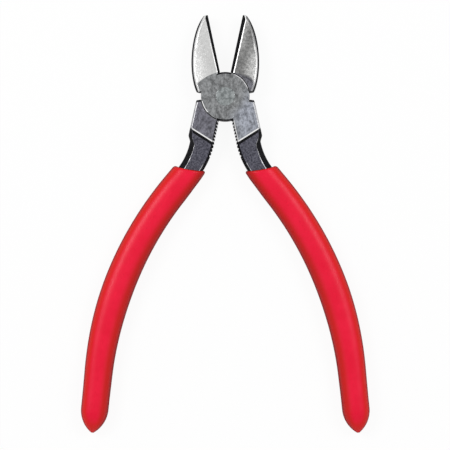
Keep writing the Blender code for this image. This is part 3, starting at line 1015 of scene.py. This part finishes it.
# %% Find a place on the lever
def lever_masks(tree, hand):
    """Distance from the rivet, place across the lever towards its shank, and height along it."""
    place = add_node(tree, "TexCoord")
    closed = add_node(tree, "Mapping")
    closed.inputs["Rotation"].default_value = (0.0, 0.0, -hand * HALF_OPENING)
    tree.links.new(place.outputs["Object"], closed.inputs["Vector"])
    parts = add_node(tree, "SeparateXYZ")
    tree.links.new(closed.outputs["Vector"], parts.inputs["Vector"])
    flat = add_node(tree, "VectorMath", {"operation": "MULTIPLY"})
    flat.inputs[1].default_value = (1.0, 1.0, 0.0)
    tree.links.new(place.outputs["Object"], flat.inputs[0])
    length = add_node(tree, "VectorMath", {"operation": "LENGTH"})
    tree.links.new(flat.outputs["Vector"], length.inputs[0])
    return length.outputs["Value"], times(tree, parts.outputs["X"], float(hand)), parts.outputs["Y"]


print("the masks turn each lever back by", round(math.degrees(HALF_OPENING), 1), "degrees")

# %% Blotch a tone
SPECKLE_SPAN = (0.36, 0.64)


def speckled(tree, colour, blotches, contrast):
    """A colour made darker and lighter by blotches."""
    level = spread(tree, blotches, *SPECKLE_SPAN, 1.0 - contrast, 1.0 + contrast)
    scaled = add_node(tree, "VectorMath", {"operation": "SCALE"})
    tree.links.new(colour, scaled.inputs["Vector"])
    tree.links.new(level, scaled.inputs["Scale"])
    return scaled.outputs["Vector"]


def overlap(tree, first, second, spans):
    """1 where two values have both passed through their spans."""
    return times(tree, spread(tree, first, *spans[0]), spread(tree, second, *spans[1]))


print("noise from", *SPECKLE_SPAN, "becomes blotches")

# %% Mix the ground boss and shank
SHANK_SPANS = ((-0.0020, 0.0050), (0.0040, -0.0060))
SHANK_RING = (0.0045, 0.0090)
BOSS_GRAIN = 0.0013
BOSS_STRETCH = (1.0, 0.7, 1.0)
BOSS_CONTRAST = 0.50
BOSS_EDGE = 0.00022
BOSS_EDGE_TONE = grey(0.30)


def boss_finish(name, hand, boss, shank, turn_deg):
    """Ground steel of the joint, with another tone down the shank and lighter edges."""
    finish, tree, shader = new_finish(name, metallic=1.0, shine=0.5)
    from_rivet, across, along = lever_masks(tree, hand)
    on_shank = overlap(tree, across, along, SHANK_SPANS)
    on_shank = times(tree, on_shank, spread(tree, from_rivet, *SHANK_RING))
    colour = tinted(tree, on_shank, boss, shank)
    blotches = grain(tree, BOSS_GRAIN, BOSS_STRETCH, turn_deg, detail=7.0, crisp=0.8)
    colour = speckled(tree, colour, blotches, BOSS_CONTRAST)
    colour = tinted(tree, edge_mask(tree, BOSS_EDGE, patchy=0.2), colour, BOSS_EDGE_TONE)
    tree.links.new(colour, shader.inputs["Base Color"])
    ground_marks(tree, shader, turn_deg, rough=0.22)
    return finish


front_finishes[GROUND] = boss_finish("front_ground", 1, (0.200, 0.205, 0.209), (0.275, 0.29, 0.33), 20.0)
rear_finishes[GROUND] = boss_finish("rear_ground", -1, grey(0.135, 0.153), (0.147, 0.145, 0.170), -20.0)
print("mixed", front_finishes[GROUND].name, "and", rear_finishes[GROUND].name)

# %% [markdown]
# ## Ground blades
# The blades were ground later, on a wheel of their own. The rear one turns away from the
# light, and its shade is painted into its tones: it is darker and more blotched, light along
# its back, dark by the edge and darkest at the joint. Steeper faces could make that
# difference, but a real blade is almost flat. So each place on a blade has a tone of its own
# that paints its light and shade, and the bright lines along its back and over its bevel are
# partly painted highlights, mixed in the same way.

# %% Tone a blade
BACK_SPANS = ((-0.0030, -0.0080), (0.0230, 0.0150))
TIP_SPANS = ((-0.0042, -0.0010), (0.0130, 0.0230))
JOINT_SPANS = ((0.0124, 0.0108), (0.0098, 0.0080))
BLADE_GRAIN = 0.0010
BLADE_MARKS_DEG, BLADE_MARKS = 75.0, 0.08


def blade_finish(name, hand, near_edge, near_back, near_joint, near_tip, contrast, rough=0.15):
    """Ground steel of a blade, with tones at its edge, its back, the joint and the tip that paint its
    light and shade.
    """
    finish, tree, shader = new_finish(name, metallic=1.0, shine=0.5)
    from_rivet, across, along = lever_masks(tree, hand)
    colour = tinted(tree, overlap(tree, across, along, BACK_SPANS), near_edge, near_back)
    colour = tinted(tree, overlap(tree, across, along, TIP_SPANS), colour, near_tip)
    colour = tinted(tree, overlap(tree, from_rivet, along, JOINT_SPANS), colour, near_joint)
    colour = speckled(tree, colour, grain(tree, BLADE_GRAIN, detail=6.0, crisp=0.75), contrast)
    tree.links.new(colour, shader.inputs["Base Color"])
    ground_marks(tree, shader, hand * BLADE_MARKS_DEG, rough, BLADE_MARKS)
    return finish


print("a blade's tone changes up to", round(1000 * TIP_SPANS[1][1]), "mm above the rivet")

# %% Mix the ground blades
# painted light: the front blade is lighter along its back than by its edge
front_finishes[BLADE] = blade_finish(
    "front_blade", 1, grey(0.55, 0.545), grey(0.68, 0.675), grey(0.66, 0.655), grey(0.60, 0.595), 0.07)
front_finishes[WIRE] = blade_finish(
    "front_wire_edge", 1, grey(0.62), grey(0.62), grey(0.62), grey(0.40), 0.10, 0.4)
# painted shade: the rear blade is darker than the front one, darkest by the joint
rear_finishes[BLADE] = blade_finish(
    "rear_blade", -1, grey(0.19, 0.188), grey(0.45, 0.445), grey(0.082, 0.094), grey(0.42, 0.415), 0.34)
# partly a painted highlight: the rear back edge is bright along the back and dark towards the tip
rear_finishes[BACK] = blade_finish(
    "rear_back_edge", -1, grey(0.24), grey(0.72), grey(0.32, 0.33), grey(0.24), 0.12, 0.4)
print("the levers now have", len(front_finishes), "and", len(rear_finishes), "finishes")

# %% [markdown]
# ## Putting the levers together
# A lever is a shank skin, joined to a blade skin, milled for the other lever's disc, joined
# to its own disc and drilled for the rivet. Joining the objects alone would leave walls
# inside the steel. So Boolean modifiers do each step in that order, keep the finish of every
# face, and are then frozen into the mesh. The finished lever rides on its body of the hinge.

# %% Make a piece
def new_piece(name, mesh, finishes, place):
    """Object from a bmesh, with its finishes, worked into its place."""
    data = bpy.data.meshes.new(name)
    mesh.transform(place)
    mesh.to_mesh(data)
    mesh.free()
    for finish in finishes:
        data.materials.append(finish)
    piece = bpy.data.objects.new(name, data)
    bpy.context.collection.objects.link(piece)
    return piece


def dressed(piece, body, node):
    """Hang a piece on its body in place of a solid."""
    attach(piece, body)
    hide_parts(node)
    print(piece.name, "has", len(piece.data.polygons), "faces and stands for", node)


# %% Fit a piece with Boolean steps
SHARP_DEG = 40.0


def fitted(piece, place, steps):
    """Run Boolean steps on a piece, each an operation and a tool's mesh, and shade it."""
    tools = []
    for operation, mesh in steps:
        tool = new_piece(piece.name + "_tool", mesh, piece.data.materials, place)
        boolean = piece.modifiers.new(operation, "BOOLEAN")
        boolean.operation = operation
        boolean.solver = "EXACT"
        boolean.object = tool
        tools.append(tool)
    finished = piece.evaluated_get(bpy.context.evaluated_depsgraph_get())
    data = bpy.data.meshes.new_from_object(finished)
    piece.modifiers.clear()
    piece.data = data
    data.shade_smooth()
    data.set_sharp_from_angle(angle=math.radians(SHARP_DEG))
    piece.modifiers.new("flat faces stay flat", "WEIGHTED_NORMAL").keep_sharp = True
    for tool in tools:
        bpy.data.objects.remove(tool, do_unlink=True)
    return piece


print("edges of more than", SHARP_DEG, "degrees stay sharp")

# %% Forge both levers
def forged(name, hand, finishes):
    """One lever: the front one (hand 1) keeps the upper disc and the rear one the lower."""
    place = lever_place(hand)
    in_order = [finishes[number] for number in sorted(finishes)]
    piece = new_piece(name, skin(shank_sections(), hand), in_order, place)
    return fitted(piece, place, (
        ("UNION", skin(blade_shoulder(hand) + blade_leaf(hand), hand)),
        ("DIFFERENCE", turned(recess_profile(hand))),
        ("UNION", lap_disc(hand)),
        ("DIFFERENCE", turned(rivet_hole())),
    ))


dressed(forged("front_forging", 1, front_finishes), "front_half", "front_lever")
dressed(forged("rear_forging", -1, rear_finishes), "rear_half", "rear_lever")

# %% [markdown]
# ## The rivet
# The rivet's heads are hammered into countersinks and ground flush, so only a hairline
# shows round them. A cylinder would do for the body, but the edge of the head has to be
# softly broken, so it is turned from a profile. Its finish is smoother than the boss, with
# faint rings from turning.

# %% Mix the rivet's finish
RIVET_TONES = ((0.135, 0.149, 0.150), (0.31, 0.331, 0.333))
RING_SCALE = 420.0


def rivet_finish():
    """Smooth grey steel with faint turned rings."""
    finish = steel_finish("turned_rivet_steel", *RIVET_TONES, blotch=0.0011, rough=0.24)
    tree = finish.node_tree
    place = add_node(tree, "TexCoord")
    as_rings = {"wave_type": "RINGS", "rings_direction": "Z"}
    rings = add_node(tree, "TexWave", as_rings, Scale=RING_SCALE, Distortion=1.0)
    tree.links.new(place.outputs["Object"], rings.inputs["Vector"])
    tree.links.new(rings.outputs["Fac"], tree.nodes["Bump"].inputs["Height"])
    return finish


rivet_steel = rivet_finish()
print("mixed", rivet_steel.name, "from", len(rivet_steel.node_tree.nodes), "nodes")

# %% Turn the rivet
HEAD_BREAK = ((0.00009, 0.0), (0.00004, 0.00002), (0.00002, 0.00006))


def rivet_body():
    """Profile of the finished rivet, with softly broken head edges."""
    head = [(RIVET_HEAD - inward, HALF_STEEL - sunk) for inward, sunk in HEAD_BREAK]
    head.append((RIVET_BODY, HALF_STEEL - HEAD_DEPTH))
    lower = [(radius, -height) for radius, height in head]
    return [(radius, height, 0) for radius, height in lower + head[::-1]]


rivet = new_piece("flush_rivet", turned(rivet_body()), [rivet_steel], lever_place(-1))
dressed(fitted(rivet, lever_place(-1), ()), "rear_half", "pivot_rivet")

# %% [markdown]
# ## The grips
# The handles are dipped in liquid vinyl, which runs into a smooth, slightly squared sleeve.
# A subdivided tube could give that, but not to a measured width. Here a superellipse gives
# the section: one number moves it from an ellipse towards a rectangle. Near its mouth the
# grip is set a little outward, where the tang leaves it, and the coat sags on both faces.

# %% Give the grip its width
GRIP_WIDTH = 0.0111
GRIP_SWOLLEN_WIDTH = GRIP_WIDTH + 0.0004
GRIP_END_WIDTH = 0.0100
SWELL_RUN = 0.0600
NOSE_LENGTH = 0.0091
NOSE_RUN = HANDLE_LENGTH - NOSE_LENGTH


def grip_half_width(run):
    """Half the width of the grip before its end."""
    if run < SWELL_RUN:
        return eased(GRIP_WIDTH, GRIP_SWOLLEN_WIDTH, run / SWELL_RUN) / 2
    return eased(GRIP_SWOLLEN_WIDTH, GRIP_END_WIDTH, (run - SWELL_RUN) / (NOSE_RUN - SWELL_RUN)) / 2


print("a grip is", round(2000 * grip_half_width(SWELL_RUN), 1), "mm wide where it is thickest")

# %% Draw a rounded square
GRIP_SIDES = 72
SQUARENESS = 2.5


def rounded_square(i):
    """Point i round a superellipse of half width and half height 1."""
    angle = math.tau * i / GRIP_SIDES
    on_circle = (math.cos(angle), math.sin(angle))
    return [math.copysign(abs(part) ** (2.0 / SQUARENESS), part) for part in on_circle]


print("its corner lies at", round(rounded_square(GRIP_SIDES // 8)[0], 3), "of the half width")

# %% Draw the grip's section
MOUTH_SHIFT, INNER_SHIFT_RUN, OUTER_SHIFT_RUN = 0.0004, 0.0110, 0.0040
MOUTH_SAG, SAG_RUN = 0.0005, 0.0060


def to_mouth(run, length):
    """1 at the mouth of the grip, falling to 0 over a length below it."""
    return eased(1.0, 0.0, (run - mouth_run) / length)


def grip_row(inner_run, outer_run, insets=(0.0, 0.0), share=1.0):
    """Rounded section of the grip, drawn in by an inset on each side or shrunk by a share."""
    inner_shift = MOUTH_SHIFT * to_mouth(inner_run, INNER_SHIFT_RUN)
    outer_shift = MOUTH_SHIFT * to_mouth(outer_run, OUTER_SHIFT_RUN)
    inner = beside(inner_run, inner_shift + insets[0] - share * grip_half_width(inner_run))
    outer = beside(outer_run, outer_shift - insets[1] + share * grip_half_width(outer_run))
    middle = (inner + outer) / 2
    reach = (outer - inner) / 2
    half = share * HALF_STEEL - insets[0]
    sag = Vector((reach.y, -reach.x)).normalized() * MOUTH_SAG * to_mouth(inner_run, SAG_RUN)
    ring = []
    for across, up in map(rounded_square, range(GRIP_SIDES)):
        point = middle + reach * across + sag * up * up
        ring.append((point.x, point.y, half * up))
    return ring, [0] * GRIP_SIDES


trial_ring = grip_row(SWELL_RUN, SWELL_RUN)[0]
print("a grip's section has", len(trial_ring), "points")

# %% [markdown]
# ## The lip and the end of a grip
# The vinyl's lip follows the level of the dip, so it crosses the slanted handle askew, and
# its outer corner is rounder than its inner one. A Bevel modifier would round both alike. So
# the lip is drawn in over a few sections, with a round for each side. At the other end two
# arcs meet in a blunt point, like the tip of a bullet.

# %% Round the lip
LIP_ROUNDS = (0.0007, 0.0014)
LIP_RISE = 0.0004
LIP_STEPS = 9
lip_starts = (run_at_dip(-GRIP_WIDTH / 2), run_at_dip(GRIP_WIDTH / 2) - LIP_RISE)


def lip_rows():
    """Sections round the lip, from its opening to the full width of the grip."""
    rows = []
    for step in range(LIP_STEPS + 1):
        turn = math.radians(90.0 / LIP_STEPS * step)
        insets = [size * (1.0 - math.sin(turn)) for size in LIP_ROUNDS]
        runs = [start + size * (1.0 - math.cos(turn)) for start, size in zip(lip_starts, LIP_ROUNDS)]
        rows.append(grip_row(*runs, insets))
    return rows


print("the lip starts", [round(1000 * start, 1) for start in lip_starts], "mm below the neck")

# %% Draw the bullet-shaped end
NOSE_STEPS = 20
NOSE_FLAT = 0.0003


def nose_rows():
    """Sections of the bullet-shaped end, drawn in along an arc."""
    nose = HANDLE_LENGTH - NOSE_RUN
    half = GRIP_END_WIDTH / 2
    radius = (nose ** 2 + half ** 2) / GRIP_END_WIDTH
    rows = []
    for step in range(1, NOSE_STEPS + 1):
        ahead = (nose - NOSE_FLAT) * math.sin(math.radians(90.0 / NOSE_STEPS * step))
        share = (math.sqrt(radius ** 2 - ahead ** 2) - (radius - half)) / half
        rows.append(grip_row(NOSE_RUN + ahead, NOSE_RUN + ahead, share=share))
    return rows


print("the grip's end takes", len(nose_rows()), "sections over", 1000 * NOSE_LENGTH, "mm")

# %% Skin a grip
SLEEVE_STEPS = 90


def grip_sections():
    """Sections of the grip from its rounded lip to its pointed end."""
    rows = lip_rows()
    starts = [start + size for start, size in zip(lip_starts, LIP_ROUNDS)]
    for step in range(1, SLEEVE_STEPS + 1):
        rows.append(grip_row(*[between(start, NOSE_RUN, step / SLEEVE_STEPS) for start in starts]))
    return rows + nose_rows()


print("a grip is skinned over", len(grip_sections()), "sections")

# %% [markdown]
# ## Dipped vinyl
# Dipped vinyl is a smooth, saturated red with a soft gloss. Its surface has a faint orange
# peel from curing and fine scuffs from the hand. The red is painted deeper towards the inner
# side of the handle and round the sides: this is painted shade, where the light falls off, and
# the inner shade fades out towards the end of the grip. The sides are also duller. One even red
# would look like plastic from a mould. The object-space normal says which way a point faces,
# and so where to paint the shade.

# %% Find the sides of the grips
def grip_masks(tree):
    """How far a point faces outward, how level it lies, and its height along the tool."""
    place = add_node(tree, "TexCoord")
    facing = add_node(tree, "SeparateXYZ")
    tree.links.new(place.outputs["Normal"], facing.inputs["Vector"])
    spot = add_node(tree, "SeparateXYZ")
    tree.links.new(place.outputs["Object"], spot.inputs["Vector"])
    hand = add_node(tree, "Math", {"operation": "SIGN"})
    tree.links.new(spot.outputs["X"], hand.inputs[0])
    level = add_node(tree, "Math", {"operation": "ABSOLUTE"})
    tree.links.new(facing.outputs["Z"], level.inputs[0])
    outward = times(tree, facing.outputs["X"], hand.outputs["Value"])
    return outward, level.outputs["Value"], spot.outputs["Y"]


print("the front lever's grip lies at x > 0, so the sign of x tells which way is outward")

# %% Mix the reds
FACE_REDS = ((0.80, 0.004, 0.034), (0.85, 0.007, 0.042))
# painted shade: the rounded edge and the sides of the grip are painted a deeper, darker red
SHADED_ROUND_RED = (0.72, 0.010, 0.010)
# painted shade: the inner side of each grip is painted a deeper red, fading out down the grip
INNER_SHADE_REDS = ((0.52, 0.010, 0.009), (0.60, 0.010, 0.009))
SHADED_SIDE_RED = (0.23, 0.003, 0.003)
CLOUD_SIZE = 0.006
CLOUD_SPAN = (0.35, 0.70)
ROUNDED_SPAN = (0.995, 0.80)
INNER_SHADE_FADE_SPAN = (-0.060, -0.088)
INNER_SPAN = (-0.03, -0.62)
SIDE_SPAN = (0.76, 0.14)


def vinyl_colour(tree):
    """Red with painted shade round the sides and towards the inner side, and the mask of the sides."""
    outward, level, along = grip_masks(tree)
    cloud = spread(tree, grain(tree, CLOUD_SIZE, detail=2.0), *CLOUD_SPAN)
    colour = tinted(tree, cloud, *FACE_REDS)
    # painted shade where the rounded surface turns away from the top
    colour = tinted(tree, spread(tree, level, *ROUNDED_SPAN), colour, SHADED_ROUND_RED)
    # painted shade on the inner side, fading out towards the end of the grip
    inner_shade = tinted(tree, spread(tree, along, *INNER_SHADE_FADE_SPAN), *INNER_SHADE_REDS)
    colour = tinted(tree, spread(tree, outward, *INNER_SPAN), colour, inner_shade)
    # painted shade: the sides turn dark red; the same mask also makes them duller
    side = spread(tree, level, *SIDE_SPAN)
    return tinted(tree, side, colour, SHADED_SIDE_RED), side


print("the vinyl runs from", FACE_REDS[1], "on its faces to", SHADED_SIDE_RED, "on its sides")

# %% Mix the vinyl
PEEL_SIZE, PEEL_DEPTH, PEEL_STRENGTH = 0.0016, 0.00008, 0.12
SCUFF_SIZE = 0.0005
SCUFF_STRETCH = (1.0, 0.10, 1.0)
SCUFF_DEG = 25.0
SCUFF_SPAN = (0.35, 0.7)
GLOSS_SPAN = (0.30, 0.40)
SIDE_DULLNESS = 0.45


def vinyl_finish():
    """Red dipped vinyl with orange peel and scuffs."""
    finish, tree, shader = new_finish("red_dipped_vinyl", metallic=0.0, shine=0.19)
    colour, side = vinyl_colour(tree)
    tree.links.new(colour, shader.inputs["Base Color"])
    scuffs = grain(tree, SCUFF_SIZE, SCUFF_STRETCH, SCUFF_DEG, detail=3.0)
    duller = add_node(tree, "Math", {"operation": "MULTIPLY_ADD"})
    tree.links.new(side, duller.inputs[0])
    duller.inputs[1].default_value = SIDE_DULLNESS
    tree.links.new(spread(tree, scuffs, *SCUFF_SPAN, *GLOSS_SPAN), duller.inputs[2])
    tree.links.new(duller.outputs["Value"], shader.inputs["Roughness"])
    bump = add_node(tree, "Bump", Strength=PEEL_STRENGTH, Distance=PEEL_DEPTH)
    tree.links.new(grain(tree, PEEL_SIZE, detail=3.0), bump.inputs["Height"])
    tree.links.new(bump.outputs["Normal"], shader.inputs["Normal"])
    return finish


vinyl = vinyl_finish()
print("mixed", vinyl.name, "from", len(vinyl.node_tree.nodes), "nodes")

# %% Dip both grips
BORE_GAP = 0.00003


def dipped(name, hand):
    """One grip, bored out for its tang."""
    place = lever_place(hand)
    piece = new_piece(name, skin(grip_sections(), hand, 0), [vinyl], place)
    bore = [shank_row(run, BORE_GAP) for run in shank_runs() if run > TEETH_END]
    bore = [(ring, [0] * len(finishes)) for ring, finishes in bore]
    return fitted(piece, place, (("DIFFERENCE", skin(bore, hand, 0)),))


dressed(dipped("front_dipped_grip", 1), "front_half", "front_lever_grip")
dressed(dipped("rear_dipped_grip", -1), "rear_half", "rear_lever_grip")

# %% [markdown]
# ## White paper in a white room
# The tool lies on a white sweep. The sweep and the room are white to the camera and to
# mirror-like rays, so that the steel shows a white room as well. Overexposing the lamps would
# also whiten the paper, but it would wash out the tool. So the light path says which kind of
# ray asks. The paper is only partly painted white in this way: the rest of it is lit by the
# lamps, so it still takes the tool's shadow.

# %% Ask for the kind of ray
WHITE_RAYS = ("Is Camera Ray", "Is Glossy Ray", "Is Transmission Ray")


def seen_directly(tree):
    """1 for camera rays and for mirrored or refracted ones, 0 for the rest."""
    rays = add_node(tree, "LightPath")
    seen = rays.outputs[WHITE_RAYS[0]]
    for kind in WHITE_RAYS[1:]:
        either = add_node(tree, "Math", {"operation": "MAXIMUM"})
        tree.links.new(seen, either.inputs[0])
        tree.links.new(rays.outputs[kind], either.inputs[1])
        seen = either.outputs["Value"]
    return seen


print("the studio is plain white to", len(WHITE_RAYS), "kinds of ray")

# %% Turn a shader white to those rays
PLAIN_WHITE = 1.0


def white_to(tree, mask, lit, output):
    """Send a shader to the output, replaced by plain white where the mask is 1."""
    white = add_node(tree, "Emission", Strength=PLAIN_WHITE)
    mixed = add_node(tree, "MixShader")
    tree.links.new(mask, mixed.inputs["Fac"])
    tree.links.new(lit, mixed.inputs[1])
    tree.links.new(white.outputs["Emission"], mixed.inputs[2])
    tree.links.new(mixed.outputs["Shader"], output.inputs["Surface"])


print("plain white shines with a strength of", PLAIN_WHITE)

# %% Mix the paper
PAPER_TONES = (grey(0.955), grey(0.965))
PAPER_GRAIN = 0.002
PAPER_SPAN = (0.3, 0.7)
PAPER_WHITE = 0.92


def paper_finish():
    """White paper with a faint tooth, mostly white to the camera."""
    finish, tree, shader = new_finish("white_paper", metallic=0.0, shine=0.1)
    shader.inputs["Roughness"].default_value = 0.9
    tooth = spread(tree, grain(tree, PAPER_GRAIN), *PAPER_SPAN)
    tree.links.new(tinted(tree, tooth, *PAPER_TONES), shader.inputs["Base Color"])
    mask = times(tree, seen_directly(tree), PAPER_WHITE)
    white_to(tree, mask, shader.outputs["BSDF"], tree.nodes["Material Output"])
    return finish


paper = paper_finish()
print("mixed", paper.name, "from", len(paper.node_tree.nodes), "nodes")

# %% Lay the floor
TOOL_MIDDLE = Vector((0.0, -0.0465, 0.0))
PAPER_REACH, PAPER_DROP = 1.5, 0.0002
sheet = bmesh.new()
bmesh.ops.create_grid(sheet, x_segments=2, y_segments=2, size=PAPER_REACH)
under_tool = Matrix.Translation((TOOL_MIDDLE.x, TOOL_MIDDLE.y, -PAPER_DROP))
floor = new_piece("paper_floor", sheet, [paper], under_tool)
print("the floor is", round(floor.dimensions.x, 1), "m wide")

# %% Whiten the room
ROOM_LIGHT = 0.45
room = bpy.data.worlds.new("white_room")
bpy.context.scene.world = room
room.use_nodes = True
walls = room.node_tree
ambient = walls.nodes["Background"]
ambient.inputs["Color"].default_value = (1.0, 1.0, 1.0, 1.0)
ambient.inputs["Strength"].default_value = ROOM_LIGHT
white_to(walls, seen_directly(walls), ambient.outputs["Background"], walls.nodes["World Output"])
print("the room is white to the camera and gives matt surfaces a light of", ROOM_LIGHT)

# %% [markdown]
# ## The lamps
# Two soft boxes hang above the tool, beyond the blades, and the left one is a little stronger.
# They give the grips their soft highlights. A sun lamp would give hard edges to highlights
# and shadows, while an area lamp's size sets how soft both are.

# %% Hang the lamps
BOX_SIZE = 0.40
BOX_PLACE = Vector((0.50, 0.22, 0.85))


def softbox(name, side, watts):
    """Square area lamp on one side that points at the middle of the tool."""
    lamp = bpy.data.lights.new(name, "AREA")
    lamp.shape = "SQUARE"
    lamp.size = BOX_SIZE
    lamp.energy = watts
    box = bpy.data.objects.new(name, lamp)
    bpy.context.collection.objects.link(box)
    box.location = (side * BOX_PLACE.x, BOX_PLACE.y, BOX_PLACE.z)
    box.rotation_euler = (TOOL_MIDDLE - box.location).to_track_quat("-Z", "Y").to_euler()
    return box


boxes = [softbox("left_box", -1, 3.8), softbox("right_box", 1, 2.9)]
print("hung", [box.name for box in boxes], "with", [round(box.data.energy, 1) for box in boxes], "watts")

# %% [markdown]
# ## The camera
# The picture was taken from straight above with a long lens, so the grips don't lean. An
# orthographic camera would be flat too, but a long lens far away keeps a trace of depth. The
# frame is square and shows about 163 mm of the tool's plane, with the rivet a good way above
# the middle.

# %% Set the camera
FRAME_WIDTH = 0.1635
VIEW_MIDDLE = Vector((-0.00011, -0.04665))
VIEW_HEIGHT = 2 * HALF_STEEL - 0.002
lens = bpy.data.cameras.new("copy_stand")
lens.lens = 180.0
lens.sensor_width = 36.0
camera = bpy.data.objects.new("copy_stand", lens)
bpy.context.collection.objects.link(camera)
stand_off = FRAME_WIDTH * lens.lens / lens.sensor_width
camera.location = (VIEW_MIDDLE.x, VIEW_MIDDLE.y, VIEW_HEIGHT + stand_off)
bpy.context.scene.camera = camera
bpy.context.scene.view_settings.view_transform = "Standard"
print("the camera stands", round(stand_off, 2), "m above the tool")
